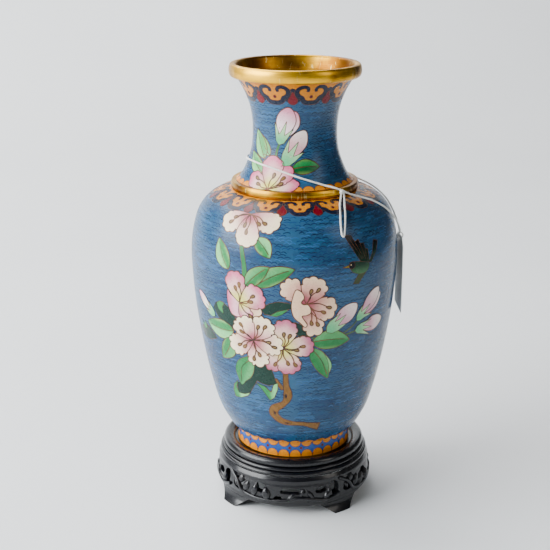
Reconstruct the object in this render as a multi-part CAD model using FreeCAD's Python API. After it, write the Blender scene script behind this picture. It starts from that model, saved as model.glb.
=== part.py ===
import FreeCAD, Part

import math
import os

from FreeCAD import Vector

# A cloisonne vase on its carved wooden stand, in millimetres.
# +Z is up. The origin is the centre of the plane that the stand's feet rest on.
# Angles run round the axis from the front (-Y) towards the right (+X).

# ---- driving dimensions: stand ----
SEAT_Z = 31.5            # height of the board that the vase stands on
SEAT_BOARD_T = 4.0
GLUE_GAP = 0.02          # clearance at a glued joint
FEET = 4
FOOT_ANGLE = 37.5        # direction of the first of the four feet
FOOT_TIP_R = 49.0        # outer radius of a foot where it meets the floor
FOOT_TIP_HALF = 6.5      # half the angle of a foot at the floor
FOOT_TOP_HALF = 17.0     # half the angle of a foot at the apron
FOOT_DEPTH = 7.0         # radial thickness of a foot at the floor
APRON_LOW_Z = 6.2        # lower edge of the apron
APRON_TOP_Z = 24.6       # where the apron meets the waist moulding
APRON_BULGE_Z = 15.5
APRON_TOP_R = 44.6
APRON_BULGE_R = 47.4
APRON_LOW_R = 45.6
APRON_WALL = 6.0
UPPER_BEAD_R = 43.4
LOWER_BEAD_R = 44.9
BEAD_SPLIT_Z = 27.2      # groove between the two beads
WAIST_BORE_R = 30.0
LIP_LOW_Z = 29.4
LIP_OUTER_R = 42.6
LIP_CREST_R = 38.9
LIP_CREST_RISE = 2.5     # crest of the lip above the seat
LIP_INNER_R = 36.0

# Pierced slots of an apron panel: offset from its middle and half-width in degrees,
# then the heights of the slot's lower and upper edge.
APRON_SLOTS = [(-36, 6.5, 11.5, 19.0), (-17, 6.0, 14.0, 21.0), (0, 5.5, 14.5, 19.5),
               (15, 5.0, 14.0, 19.0), (33, 7.0, 11.0, 19.0)]

# ---- driving dimensions: vase, heights above its own foot ----
VASE_H = 229.0
ENAMEL_T = 0.9           # enamel with its wires
COPPER_T = 1.0           # spun copper
LINING_T = 0.4           # counter-enamel inside
BASE_ENAMEL_T = 0.5      # counter-enamel under the base
FOOT_H = 11.4            # foot ring, up to the joint wire
FOOT_LOW_R = 34.1
FOOT_TOP_R = 33.1
FOOT_WALL = 2.2
FOOT_EDGE_H = 1.3        # gilt edge below the foot's enamel
JOINT_GAP = 0.03
JOINT_WIRE_PROUD = 0.8   # joint wire beyond the foot's enamel
COLLAR_LOW_H = 157.95    # gilt ring that hides the joint of neck and body
COLLAR_TOP_H = 162.4
COLLAR_R = 36.9
COLLAR_CROWN = 0.6       # rounding of the ring's outer face
COLLAR_INNER_R = 32.0
SPIGOT_R = 35.4          # part of the ring that enters the body
SPIGOT_H = 1.6
RIM_LOW_H = 221.6
RIM_R = 37.6
RIM_MOUTH_R = 33.5
RIM_ROUND = 1.5
RIM_BORE_FLARE = 1.6     # how much the bore opens towards the mouth
NECK_RUYI_LOW_H = 209.6  # lower edge of the lappet border under the rim
NECK_SCALLOP_TOP_H = 165.6
SHOULDER_RUYI_LOW_H = 151.4
LINING_TOP_H = 196.0     # the lining stops here, and the mouth is gilt above it

# Outer radius at each height: body from foot to collar, neck from collar to rim.
# The neck's curve runs a little past both of its ends, and is trimmed flat there.
BODY_PROFILE = [(34.6, 11.4), (37.5, 12.7), (39.8, 16), (44.1, 24), (48.1, 36), (52.0, 52),
                (55.4, 70), (58.4, 90), (60.2, 112), (60.1, 127), (58.2, 138), (55.4, 146),
                (50.3, 152.2), (44.5, 155.6), (36.1, 157.9)]
NECK_PROFILE = [(38.2, 159.7), (35.6, 161.3), (31.9, 164.2), (28.5, 170), (25.1, 180),
                (24.1, 190), (24.7, 200), (26.5, 208), (28.9, 214), (31.7, 219), (35.4, 224.0)]

# ---- driving dimensions: price string and tag, heights above the vase's foot ----
STRING_R = 0.5
KNOT_R = 1.1
KNOT_ANGLE = 40.5
KNOT_AXIS_R = 40.2
KNOT_H = 161.8
TAG_ANGLE = 94.0         # direction in which the tag hangs
TAG_R = 62.5             # distance of the card from the vase's axis
TAG_TOP_H = 128.0
TAG_LENGTH = 45.0
TAG_WIDTH = 24.0
TAG_CORNER = 4.5         # clipped upper corners
TAG_T = 0.5
TAG_HOLE_R = 1.2
TAG_HOLE_DROP = 2.4      # hole below the card's upper edge
EYE_R = 1.7              # string eye through the card's hole
EYE_STRING_R = 0.4

# Stations of the string: angle, distance from the axis, height above the vase's foot.
# It rises from the tag, crosses the collar, rounds the neck and comes down again.
STRING_STATIONS = [(93.0, 62.4, 130.4), (89.5, 61.6, 132.8), (85, 60.8, 135.6), (79.5, 58.8, 141.6),
                   (74, 56.0, 147.3), (69, 52.5, 151.6), (63, 48.1, 155.2), (57, 44.0, 157.4),
                   (50, 40.7, 159.4), (44, 38.3, 161.7), (37.5, 36.2, 163.6), (31, 33.5, 164.8),
                   (16, 31.0, 167.6), (-1.5, 29.5, 170.5), (-27, 28.3, 174.0), (-46, 27.7, 175.2),
                   (-82, 27.5, 175.3), (-120, 28.3, 173.4), (-160, 29.8, 170.0),
                   (-190, 31.9, 166.8), (-205, 34.0, 164.8), (-213, 36.3, 163.7),
                   (-222, 38.4, 161.7), (-235, 43.0, 158.2), (-247, 48.1, 155.2),
                   (-253, 52.5, 151.6), (-257.5, 56.0, 147.3), (-261, 58.8, 141.6),
                   (-263.5, 60.9, 135.6), (-264.8, 62.4, 130.4)]
LOOP_STATIONS = [(41.6, 39.0, 160.2), (37.5, 41.9, 158.5), (33.0, 45.8, 156.6),
                 (29.0, 51.5, 152.9), (26.9, 55.4, 148.4), (26.3, 57.9, 143.5),
                 (27.1, 58.5, 142.0), (27.9, 57.9, 143.5), (29.8, 55.4, 148.4),
                 (32.2, 51.9, 152.7), (36.4, 46.3, 156.5), (40.6, 42.3, 158.5),
                 (44.6, 39.1, 160.2)]


def polar(radius, angle, height):
    a = math.radians(angle)
    return Vector(radius * math.sin(a), -radius * math.cos(a), height)


def section(radius, height):
    """A point of a half-section, drawn in the XZ plane."""
    return Vector(radius, 0, height)


def revolve(edges):
    """Ring turned from the edges of a closed half-section."""
    face = Part.Face(Part.Wire(Part.__sortEdges__(edges)))
    return face.revolve(Vector(0, 0, 0), Vector(0, 0, 1), 360)


def lines(points):
    """Straight edges from each point to the next."""
    return [Part.makeLine(a, b) for a, b in zip(points, points[1:])]


def arc(start, middle, end):
    return Part.Arc(start, middle, end).toShape()


def turned(points):
    """Ring turned from the corners of a closed half-section."""
    return revolve(lines(points + points[:1]))


def point_outwards(shape, angle):
    """Turn a shape that was drawn along +X to face a direction."""
    shape.rotate(Vector(0, 0, 0), Vector(0, 0, 1), angle - 90)
    return shape


# ---- vase: one outline, moved inwards for each layer ----

def on_vase(radius, height):
    return section(radius, height + SEAT_Z)


def outline(profile, depth):
    """Curve through a profile, moved inwards by depth along its own normals."""
    curve = Part.BSplineCurve()
    curve.interpolate([on_vase(r, h) for r, h in profile])
    if depth == 0:
        return curve
    steps = 4 * (len(profile) - 1)
    first, last = curve.FirstParameter, curve.LastParameter
    moved = []
    for i in range(steps + 1):
        t = first + (last - first) * i / steps
        along = curve.tangent(t)[0]
        moved.append(curve.value(t) + Vector(-along.z, 0, along.x) * depth)
    inner = Part.BSplineCurve()
    inner.interpolate(moved)
    return inner


def layer(profile, outer_depth, inner_depth):
    """Shell between two depths under the outline."""
    outer = outline(profile, outer_depth)
    inner = outline(profile, inner_depth)
    ends = [Part.makeLine(outer.StartPoint, inner.StartPoint),
            Part.makeLine(outer.EndPoint, inner.EndPoint)]
    return revolve([outer.toShape(), inner.toShape()] + ends)


def between(shape, low, high):
    """The part of a shape between two heights above the vase's foot."""
    slab = Part.makeCylinder(2 * RIM_R, high - low, Vector(0, 0, low + SEAT_Z))
    return shape.common(slab)


def body_floor(outer_depth, inner_depth):
    """Disc that closes the bottom of one layer of the body."""
    low = outline(BODY_PROFILE, outer_depth).StartPoint
    high = outline(BODY_PROFILE, inner_depth).StartPoint
    return turned([section(0, low.z), low, high, section(0, high.z)])


def body_shell(outer_depth, inner_depth):
    wall = layer(BODY_PROFILE, outer_depth, inner_depth)
    return wall.fuse(body_floor(outer_depth, inner_depth)).removeSplitter()


def body_core():
    return body_shell(ENAMEL_T, ENAMEL_T + COPPER_T)


def body_floor_height():
    """Underside of the copper body, above the vase's foot."""
    return outline(BODY_PROFILE, ENAMEL_T).StartPoint.z - SEAT_Z


def neck_core():
    wall = layer(NECK_PROFILE, ENAMEL_T, ENAMEL_T + COPPER_T)
    return between(wall, COLLAR_TOP_H, RIM_LOW_H)


def neck_skin(low, high):
    """Enamel of the neck between two heights."""
    return between(layer(NECK_PROFILE, 0, ENAMEL_T), low, high)


def body_skin(low, high):
    """Enamel of the body between two heights."""
    return between(layer(BODY_PROFILE, 0, ENAMEL_T), low, high)


def inner_enamel():
    """Counter-enamel inside, one coat in the body and one in the neck."""
    depth = ENAMEL_T + COPPER_T
    neck = layer(NECK_PROFILE, depth, depth + LINING_T)
    neck = between(neck, COLLAR_TOP_H, LINING_TOP_H)
    return Part.makeCompound([body_shell(depth, depth + LINING_T), neck])


def foot_radius(height):
    return FOOT_LOW_R + (FOOT_TOP_R - FOOT_LOW_R) * height / FOOT_H


def foot_core():
    inner = FOOT_TOP_R - FOOT_WALL
    outer = FOOT_TOP_R - ENAMEL_T
    top = body_floor_height()
    return turned([on_vase(inner, FOOT_EDGE_H),
                   on_vase(foot_radius(FOOT_EDGE_H) - ENAMEL_T, FOOT_EDGE_H),
                   on_vase(outer, FOOT_H), on_vase(outer, top), on_vase(inner, top)])


def foot_enamel():
    low_r = foot_radius(FOOT_EDGE_H)
    return turned([on_vase(low_r - ENAMEL_T, FOOT_EDGE_H), on_vase(low_r, FOOT_EDGE_H),
                   on_vase(FOOT_TOP_R, FOOT_H), on_vase(FOOT_TOP_R - ENAMEL_T, FOOT_H)])


def foot_edge():
    """Gilt lower edge of the foot ring, on which the vase stands."""
    inner = FOOT_TOP_R - FOOT_WALL
    return turned([on_vase(inner, 0), on_vase(FOOT_LOW_R, 0),
                   on_vase(foot_radius(FOOT_EDGE_H), FOOT_EDGE_H), on_vase(inner, FOOT_EDGE_H)])


def foot_joint_wire():
    """Wire laid in the corner between the foot and the body."""
    inner = FOOT_TOP_R - ENAMEL_T + JOINT_GAP
    outer = FOOT_TOP_R + JOINT_WIRE_PROUD
    low = FOOT_H + JOINT_GAP
    high = body_floor_height() - JOINT_GAP
    round_face = arc(on_vase(outer, low), on_vase(outer + 0.15, (low + high) / 2),
                     on_vase(outer, high))
    return revolve([round_face] + lines([on_vase(outer, high), on_vase(inner, high),
                                         on_vase(inner, low), on_vase(outer, low)]))


def base_enamel():
    """Counter-enamel under the body, inside the foot ring."""
    top = body_floor_height()
    radius = FOOT_TOP_R - FOOT_WALL - JOINT_GAP
    return Part.makeCylinder(radius, BASE_ENAMEL_T, Vector(0, 0, top - BASE_ENAMEL_T + SEAT_Z))


def collar_ring():
    """Half-round moulding over the joint of neck and body, with a spigot into the body."""
    low = on_vase(COLLAR_R - COLLAR_CROWN, COLLAR_LOW_H)
    crown = on_vase(COLLAR_R, (COLLAR_LOW_H + COLLAR_TOP_H) / 2)
    high = on_vase(COLLAR_R - COLLAR_CROWN, COLLAR_TOP_H)
    rest = [high, on_vase(COLLAR_INNER_R, COLLAR_TOP_H),
            on_vase(COLLAR_INNER_R, COLLAR_LOW_H - SPIGOT_H),
            on_vase(SPIGOT_R, COLLAR_LOW_H - SPIGOT_H), on_vase(SPIGOT_R, COLLAR_LOW_H), low]
    return revolve([arc(low, crown, high)] + lines(rest))


def rim_ring():
    """Heavy gilt mouth ring with rounded edges, and a bore that carries on the neck's."""
    soft = RIM_ROUND * (1 - math.sqrt(0.5))
    bore_low = on_vase(RIM_MOUTH_R - RIM_BORE_FLARE, RIM_LOW_H)
    bore_top = on_vase(RIM_MOUTH_R, VASE_H - RIM_ROUND)
    crown_in = on_vase(RIM_MOUTH_R + RIM_ROUND, VASE_H)
    crown_out = on_vase(RIM_R - RIM_ROUND, VASE_H)
    side_top = on_vase(RIM_R, VASE_H - RIM_ROUND)
    side_low = on_vase(RIM_R, RIM_LOW_H + RIM_ROUND)
    under = on_vase(RIM_R - RIM_ROUND, RIM_LOW_H)
    edges = [arc(bore_top, on_vase(RIM_MOUTH_R + soft, VASE_H - soft), crown_in),
             arc(crown_out, on_vase(RIM_R - soft, VASE_H - soft), side_top),
             arc(side_low, on_vase(RIM_R - soft, RIM_LOW_H + soft), under)]
    edges += lines([bore_low, bore_top]) + lines([crown_in, crown_out])
    edges += lines([side_top, side_low]) + lines([under, bore_low])
    return revolve(edges)


# ---- stand ----

def stand_lip():
    """Half-round lip that keeps the vase's foot on the seat."""
    low_in = section(LIP_INNER_R, LIP_LOW_Z)
    low_out = section(LIP_OUTER_R - 1.0, LIP_LOW_Z)
    widest = section(LIP_OUTER_R, SEAT_Z + 0.6)
    crest = section(LIP_CREST_R, SEAT_Z + LIP_CREST_RISE)
    fall = section((LIP_CREST_R + LIP_INNER_R) / 2, SEAT_Z + LIP_CREST_RISE - 0.4)
    inner = section(LIP_INNER_R, SEAT_Z + 0.9)
    edges = [arc(low_out, widest, crest), arc(crest, fall, inner)]
    return revolve(edges + lines([inner, low_in, low_out]))


def seat_board():
    radius = LIP_INNER_R - GLUE_GAP
    return Part.makeCylinder(radius, SEAT_BOARD_T, Vector(0, 0, SEAT_Z - SEAT_BOARD_T))


def waist_moulding():
    """Two beads between the lip and the apron, rebated for the seat board."""
    top_z = LIP_LOW_Z - GLUE_GAP
    board_z = SEAT_Z - SEAT_BOARD_T - GLUE_GAP
    top_in = section(LIP_INNER_R, top_z)
    top_out = section(UPPER_BEAD_R - 1.0, top_z)
    split = section(UPPER_BEAD_R - 0.5, BEAD_SPLIT_Z)
    low_out = section(APRON_TOP_R - 0.6, APRON_TOP_Z)
    upper_bead = arc(top_out, section(UPPER_BEAD_R, (top_z + BEAD_SPLIT_Z) / 2), split)
    lower_bead = arc(split, section(LOWER_BEAD_R, (BEAD_SPLIT_Z + APRON_TOP_Z) / 2), low_out)
    rest = [low_out, section(WAIST_BORE_R, APRON_TOP_Z), section(WAIST_BORE_R, board_z),
            section(LIP_INNER_R, board_z), top_in, top_out]
    return revolve([upper_bead, lower_bead] + lines(rest))


def apron_ring():
    top_z = APRON_TOP_Z - GLUE_GAP
    top = section(APRON_TOP_R, top_z)
    low = section(APRON_LOW_R, APRON_LOW_Z)
    inner_top = section(APRON_TOP_R - APRON_WALL, top_z)
    inner_low = section(APRON_LOW_R - APRON_WALL, APRON_LOW_Z)
    outer = arc(top, section(APRON_BULGE_R, APRON_BULGE_Z), low)
    inner = arc(inner_low, section(APRON_BULGE_R - APRON_WALL, APRON_BULGE_Z), inner_top)
    return revolve([outer, inner] + lines([low, inner_low]) + lines([inner_top, top]))


def sector(angle, half):
    """Tall slice of a cylinder, centred on a direction."""
    shape = Part.makeCylinder(80, 80, Vector(0, 0, -5), Vector(0, 0, 1), 2 * half)
    return point_outwards(shape, angle - half)


def pierced_slot(angle, half, low, high):
    """Rounded slot through the apron in one direction."""
    width = 2 * APRON_BULGE_R * math.sin(math.radians(half))
    start = APRON_TOP_R - 2 * APRON_WALL
    slot = Part.makeBox(3 * APRON_WALL, width, high - low, Vector(start, -width / 2, low))
    long_edges = [e for e in slot.Edges if abs(e.tangentAt(e.FirstParameter).x) > 0.99]
    slot = slot.makeFillet(0.4 * min(width, high - low), long_edges)
    return point_outwards(slot, angle)


def apron_panel(angle):
    """Quarter of the apron, from one foot's middle to the next, with pierced slots."""
    half = 180 / FEET - math.degrees(GLUE_GAP / APRON_BULGE_R)
    panel = apron_ring().common(sector(angle, half))
    for offset, width, low, high in APRON_SLOTS:
        panel = panel.cut(pierced_slot(angle + offset, width, low, high))
    return panel


def foot(angle):
    """Tongue-shaped foot under the apron, flaring outwards to a flat toe."""
    top_z = APRON_LOW_Z - GLUE_GAP
    out_top = section(APRON_LOW_R, top_z)
    toe = section(FOOT_TIP_R, 0)
    flare = arc(out_top, section(APRON_LOW_R + 1.0, top_z / 2), toe)
    rest = [toe, section(FOOT_TIP_R - FOOT_DEPTH, 0), section(APRON_LOW_R - APRON_WALL, top_z),
            out_top]
    ring = revolve([flare] + lines(rest))
    top_half = APRON_LOW_R * math.sin(math.radians(FOOT_TOP_HALF))
    tip_half = FOOT_TIP_R * math.sin(math.radians(FOOT_TIP_HALF))
    start = APRON_LOW_R - 2 * APRON_WALL
    corners = [Vector(start, -top_half, APRON_LOW_Z), Vector(start, top_half, APRON_LOW_Z),
               Vector(start, tip_half, 0), Vector(start, -tip_half, 0)]
    tongue = Part.Face(Part.makePolygon(corners + corners[:1]))
    tongue = tongue.extrude(Vector(3 * APRON_WALL, 0, 0))
    return ring.common(point_outwards(tongue, angle))


# ---- price tag ----

def string_curve(stations):
    curve = Part.BSplineCurve()
    curve.interpolate([polar(r, angle, h + SEAT_Z) for angle, r, h in stations])
    return curve


def cord(stations):
    """Round string along its stations."""
    curve = string_curve(stations)
    along = curve.tangent(curve.FirstParameter)[0]
    profile = Part.Wire(Part.makeCircle(STRING_R, curve.StartPoint, along))
    return Part.Wire(curve.toShape()).makePipeShell([profile], True, True)


def string_knot():
    """Knot that gathers the ends of the short loop, above the collar."""
    return Part.makeSphere(KNOT_R, polar(KNOT_AXIS_R, KNOT_ANGLE, KNOT_H + SEAT_Z))


def tag_card():
    """Blank card with clipped upper corners, hanging edge-on beside the body."""
    x = TAG_R - TAG_T / 2
    half = TAG_WIDTH / 2
    top = TAG_TOP_H + SEAT_Z
    low = top - TAG_LENGTH
    corners = [Vector(x, -half, low), Vector(x, half, low), Vector(x, half, top - TAG_CORNER),
               Vector(x, half - TAG_CORNER, top), Vector(x, TAG_CORNER - half, top),
               Vector(x, -half, top - TAG_CORNER)]
    card = Part.Face(Part.makePolygon(corners + corners[:1])).extrude(Vector(TAG_T, 0, 0))
    hole_start = Vector(x - TAG_T, 0, top - TAG_HOLE_DROP)
    hole = Part.makeCylinder(TAG_HOLE_R, 3 * TAG_T, hole_start, Vector(1, 0, 0))
    return point_outwards(card.cut(hole), TAG_ANGLE)


def tag_eye():
    """String eye through the card's hole; the card and its eye swing together."""
    centre = Vector(TAG_R, 0, TAG_TOP_H + SEAT_Z - TAG_HOLE_DROP + EYE_R)
    ring = Part.makeTorus(EYE_R, EYE_STRING_R, centre, Vector(0, 1, 0))
    return point_outwards(ring, TAG_ANGLE)


def parts():
    """Every piece by name."""
    shapes = {
        "stand_lip": stand_lip(),
        "stand_seat_board": seat_board(),
        "stand_waist_moulding": waist_moulding(),
        "foot_edge_ring": foot_edge(),
        "foot_core": foot_core(),
        "foot_enamel": foot_enamel(),
        "foot_joint_wire": foot_joint_wire(),
        "base_enamel": base_enamel(),
        "body_core": body_core(),
        "body_enamel": body_skin(0, SHOULDER_RUYI_LOW_H),
        "shoulder_ruyi_border": body_skin(SHOULDER_RUYI_LOW_H, COLLAR_TOP_H),
        "collar_ring": collar_ring(),
        "neck_core": neck_core(),
        "neck_scallop_border": neck_skin(COLLAR_TOP_H, NECK_SCALLOP_TOP_H),
        "neck_enamel": neck_skin(NECK_SCALLOP_TOP_H, NECK_RUYI_LOW_H),
        "neck_ruyi_border": neck_skin(NECK_RUYI_LOW_H, RIM_LOW_H),
        "inner_enamel": inner_enamel(),
        "rim_ring": rim_ring(),
        "tag_string": cord(STRING_STATIONS),
        "tag_string_loop": cord(LOOP_STATIONS),
        "tag_string_knot": string_knot(),
        "tag_card": tag_card(),
        "tag_eye": tag_eye(),
    }
    turn = 360 / FEET
    for i, side in enumerate(("front", "right", "back", "left")):
        shapes["apron_" + side] = apron_panel(FOOT_ANGLE - turn / 2 + i * turn)
    for i, corner in enumerate(("front_right", "back_right", "back_left", "front_left")):
        shapes["foot_" + corner] = foot(FOOT_ANGLE + i * turn)
    return shapes


os.makedirs("parts", exist_ok=True)
for name, shape in parts().items():
    shape.exportStep("parts/" + name + ".step")
    print(name, len(shape.Solids), round(shape.Volume, 1), shape.isValid())
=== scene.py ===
import math
import random

import bpy
import numpy as np
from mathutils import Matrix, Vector
from mathutils.bvhtree import BVHTree
from mathutils.geometry import delaunay_2d_cdt


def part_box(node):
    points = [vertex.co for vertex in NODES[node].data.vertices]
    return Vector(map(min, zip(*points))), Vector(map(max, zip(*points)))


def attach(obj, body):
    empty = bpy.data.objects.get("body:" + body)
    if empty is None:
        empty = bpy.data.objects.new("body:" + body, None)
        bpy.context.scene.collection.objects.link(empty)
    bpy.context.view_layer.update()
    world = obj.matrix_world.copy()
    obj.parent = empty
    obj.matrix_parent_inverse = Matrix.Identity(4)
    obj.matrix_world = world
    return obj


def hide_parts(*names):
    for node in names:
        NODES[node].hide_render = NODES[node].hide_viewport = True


# The looks of a cloisonne vase on its carved stand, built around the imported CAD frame.
# Lengths on the object are millimetres, and angles run round the axis from the front (-Y)
# towards the right (+X). Blender's own unit is the metre, so meshes are scaled by MM. The
# stage, the lights and the camera are laid out in metres.

MM = 0.001
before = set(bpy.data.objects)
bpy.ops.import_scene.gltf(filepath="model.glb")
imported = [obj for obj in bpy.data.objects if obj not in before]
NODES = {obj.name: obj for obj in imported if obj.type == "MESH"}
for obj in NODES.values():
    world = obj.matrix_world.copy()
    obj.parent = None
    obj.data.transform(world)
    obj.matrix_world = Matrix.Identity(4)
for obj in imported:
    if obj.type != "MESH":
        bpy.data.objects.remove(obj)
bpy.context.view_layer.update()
random.seed(11)


# ---------------------------------------------------------------- colours

def srgb(red, green, blue):
    """Linear colour from 0-255 display values."""
    def linear(v):
        v /= 255
        return v / 12.92 if v <= 0.04045 else ((v + 0.055) / 1.055) ** 2.4
    return (linear(red), linear(green), linear(blue))


GROUND_BLUE = srgb(30, 62, 94)
BRIGHT_BLUE = srgb(12, 68, 176)
NAVY = srgb(14, 22, 42)
OCHRE = srgb(192, 114, 0)
ORANGE = srgb(206, 120, 0)
DARK_RED = srgb(96, 4, 20)
CREAM = srgb(255, 233, 188)
ROSE = srgb(166, 78, 98)
BLUSH = srgb(228, 160, 172)
PINK = srgb(204, 92, 130)
LILAC = srgb(178, 86, 118)
LEMON = srgb(214, 208, 96)
PALE_GREEN = srgb(114, 192, 120)
LEAF_GREEN = srgb(28, 120, 60)
DEEP_GREEN = srgb(8, 76, 38)
MINT = srgb(96, 196, 136)
SHADE_GREEN = srgb(0, 40, 30)
BARK = srgb(96, 68, 22)
BARK_RED = srgb(124, 80, 34)
KNOT_BROWN = srgb(30, 16, 12)
ANTHER = srgb(118, 94, 54)
BIRD_GREEN = srgb(4, 44, 28)
BIRD_BLACK = srgb(3, 5, 9)
BEAK_YELLOW = srgb(130, 116, 20)


def mix(a, b, t):
    t = min(max(t, 0.0), 1.0)
    return tuple(x + (y - x) * t for x, y in zip(a, b))


def smooth(low, high, value):
    t = min(max((value - low) / (high - low), 0.0), 1.0)
    return t * t * (3 - 2 * t)


# ---------------------------------------------------------------- material helpers

RANGE_SLOTS = ("From Min", "From Max", "To Min", "To Max")


class Graph:
    """A material's node tree with short names for the nodes used here."""

    def __init__(self, name):
        self.material = bpy.data.materials.new(name)
        self.material.use_nodes = True
        self.tree = self.material.node_tree
        self.surface = self.tree.nodes["Principled BSDF"]
        self.coords = self.add("ShaderNodeTexCoord").outputs["Object"]

    def add(self, kind, **settings):
        node = self.tree.nodes.new(kind)
        for key, value in settings.items():
            setattr(node, key, value)
        return node

    def link(self, output, target):
        self.tree.links.new(output, target)

    def noise(self, scale, detail, stretch=None, distortion=0.0):
        node = self.add("ShaderNodeTexNoise")
        node.inputs["Scale"].default_value = scale
        node.inputs["Detail"].default_value = detail
        node.inputs["Roughness"].default_value = 0.55
        node.inputs["Distortion"].default_value = distortion
        self.link(self.stretched(stretch), node.inputs["Vector"])
        return node.outputs["Fac"]

    def spots(self, scale):
        """Distance from the nearest of many scattered points."""
        node = self.add("ShaderNodeTexVoronoi")
        node.inputs["Scale"].default_value = scale
        self.link(self.coords, node.inputs["Vector"])
        return node.outputs["Distance"]

    def stretched(self, stretch):
        if stretch is None:
            return self.coords
        node = self.add("ShaderNodeMapping")
        node.inputs["Scale"].default_value = stretch
        self.link(self.coords, node.inputs["Vector"])
        return node.outputs["Vector"]

    def remap(self, value, low, high, to_low=0.0, to_high=1.0):
        node = self.add("ShaderNodeMapRange")
        for slot, number in zip(RANGE_SLOTS, (low, high, to_low, to_high)):
            node.inputs[slot].default_value = number
        self.link(value, node.inputs["Value"])
        return node.outputs["Result"]

    def feed(self, socket, value):
        """Give a socket a colour, a number or another node's output."""
        if isinstance(value, tuple):
            socket.default_value = (*value, 1.0)
        elif isinstance(value, (int, float)):
            socket.default_value = value
        else:
            self.link(value, socket)

    def product(self, a, b):
        node = self.add("ShaderNodeMath", operation="MULTIPLY")
        self.feed(node.inputs[0], a)
        self.feed(node.inputs[1], b)
        return node.outputs[0]

    def blend(self, factor, a, b, mode="MIX"):
        node = self.add("ShaderNodeMix", data_type="RGBA", blend_type=mode)
        self.feed(node.inputs[0], factor)
        self.feed(node.inputs[6], a)
        self.feed(node.inputs[7], b)
        return node.outputs[2]

    def bumps(self, *layers):
        """Stack of (height, strength, distance in mm) on the surface normal."""
        normal = None
        for height, strength, distance in layers:
            node = self.add("ShaderNodeBump")
            node.inputs["Strength"].default_value = strength
            node.inputs["Distance"].default_value = distance * MM
            self.link(height, node.inputs["Height"])
            if normal:
                self.link(normal, node.inputs["Normal"])
            normal = node.outputs["Normal"]
        self.link(normal, self.surface.inputs["Normal"])

    def set(self, **values):
        for key, value in values.items():
            self.feed(self.surface.inputs[key.replace("_", " ")], value)


def gilt_material(name, light, dark, roughness):
    """Fire-gilt brass: brushed round the axis, toned brown in the hollows, finely scratched."""
    g = Graph(name)
    tone = g.noise(38, 4)
    rubbed = g.noise(9, 2)
    brushed = g.noise(130, 3, stretch=(0.4, 0.4, 14))
    scratch = g.remap(g.noise(420, 2, stretch=(1, 1, 0.14), distortion=0.8), 0.63, 0.66)
    stain = g.remap(g.product(tone, rubbed), 0.2, 0.34)
    colour = g.blend(stain, dark, light)
    colour = g.blend(g.product(scratch, 0.25), colour, srgb(255, 236, 160))
    rough = g.remap(brushed, 0.3, 0.7, roughness - 0.05, roughness + 0.09)
    g.set(Base_Color=colour, Metallic=1.0, Roughness=rough)
    g.bumps((brushed, 0.12, 0.06), (scratch, 0.15, 0.03), (g.noise(60, 2), 0.1, 0.25))
    return g.material


def ground_material(name, colour):
    """Polished ground enamel: cloudy glass with pinholes, and a soft grain from the firing."""
    g = Graph(name)
    cloud = g.noise(24, 4)
    grain = g.noise(520, 3)
    streak = g.noise(90, 3, stretch=(1, 1, 3.2))
    pits = g.remap(g.spots(430), 0.03, 0.12)
    deep = mix(colour, srgb(8, 28, 66), 0.5)
    light = mix(colour, srgb(56, 104, 136), 0.45)
    body = g.blend(g.remap(cloud, 0.35, 0.65), deep, light)
    body = g.blend(g.remap(streak, 0.42, 0.62, 0.0, 0.45), body, mix(colour, srgb(20, 96, 132), 0.45))
    body = g.blend(g.remap(grain, 0.35, 0.7, 0.0, 0.3), body, light)
    body = g.blend(pits, mix(deep, srgb(20, 20, 30), 0.5), body)
    g.set(Base_Color=body, Roughness=g.remap(cloud, 0.3, 0.7, 0.2, 0.34), Specular_IOR_Level=0.28)
    g.bumps((grain, 0.1, 0.04), (pits, 0.35, 0.06), (g.noise(160, 2), 0.12, 0.12))
    return g.material


def inlay_material(name):
    """Enamel of a motif's cells: each cell's own tint, clouded, speckled and pinholed."""
    g = Graph(name)
    tint = g.add("ShaderNodeAttribute", attribute_name="tint").outputs["Color"]
    cloud = g.noise(180, 4)
    speck = g.noise(1300, 2)
    pits = g.remap(g.spots(520), 0.03, 0.1)
    colour = g.blend(g.remap(cloud, 0.3, 0.7, 0.0, 0.28), tint, srgb(255, 255, 255), "SOFT_LIGHT")
    colour = g.blend(g.remap(speck, 0.55, 0.75, 0.0, 0.22), colour, srgb(70, 50, 45), "MULTIPLY")
    colour = g.blend(pits, mix(srgb(60, 45, 45), srgb(120, 100, 95), 0.4), colour)
    g.set(Base_Color=colour, Roughness=g.remap(cloud, 0.3, 0.7, 0.2, 0.34),
          Specular_IOR_Level=0.28)
    g.bumps((cloud, 0.12, 0.06), (pits, 0.3, 0.05))
    return g.material


def wire_material(name, light, dark, roughness):
    """Drawn copper wire, gilt where the polishing reached it and dark where it did not."""
    g = Graph(name)
    wear = g.remap(g.noise(150, 3), 0.38, 0.62)
    colour = g.blend(wear, dark, light)
    g.set(Base_Color=colour, Metallic=0.25, Roughness=g.remap(wear, 0, 1, roughness + 0.2, roughness))
    g.bumps((g.noise(900, 2), 0.2, 0.03))
    return g.material


def lacquer_material(name):
    """Black lacquer over carved hardwood, with open grain and rubbed brown edges."""
    g = Graph(name)
    ring = g.noise(60, 5, stretch=(1, 1, 9), distortion=1.2)
    pore = g.remap(g.noise(380, 3, stretch=(1, 1, 12)), 0.56, 0.7)
    rubbed = g.noise(48, 4)
    colour = g.blend(g.remap(ring, 0.35, 0.65), srgb(4, 5, 9), srgb(12, 12, 18))
    colour = g.blend(g.remap(rubbed, 0.6, 0.75, 0.0, 0.5), colour, srgb(26, 18, 16))
    colour = g.blend(pore, colour, srgb(5, 5, 7))
    g.set(Base_Color=colour, Roughness=g.remap(rubbed, 0.3, 0.7, 0.16, 0.3),
          Specular_IOR_Level=0.4, Coat_Weight=0.15, Coat_Roughness=0.06)
    g.bumps((ring, 0.16, 0.1), (pore, 0.35, 0.06), (g.noise(110, 3), 0.2, 0.2))
    return g.material


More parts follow.
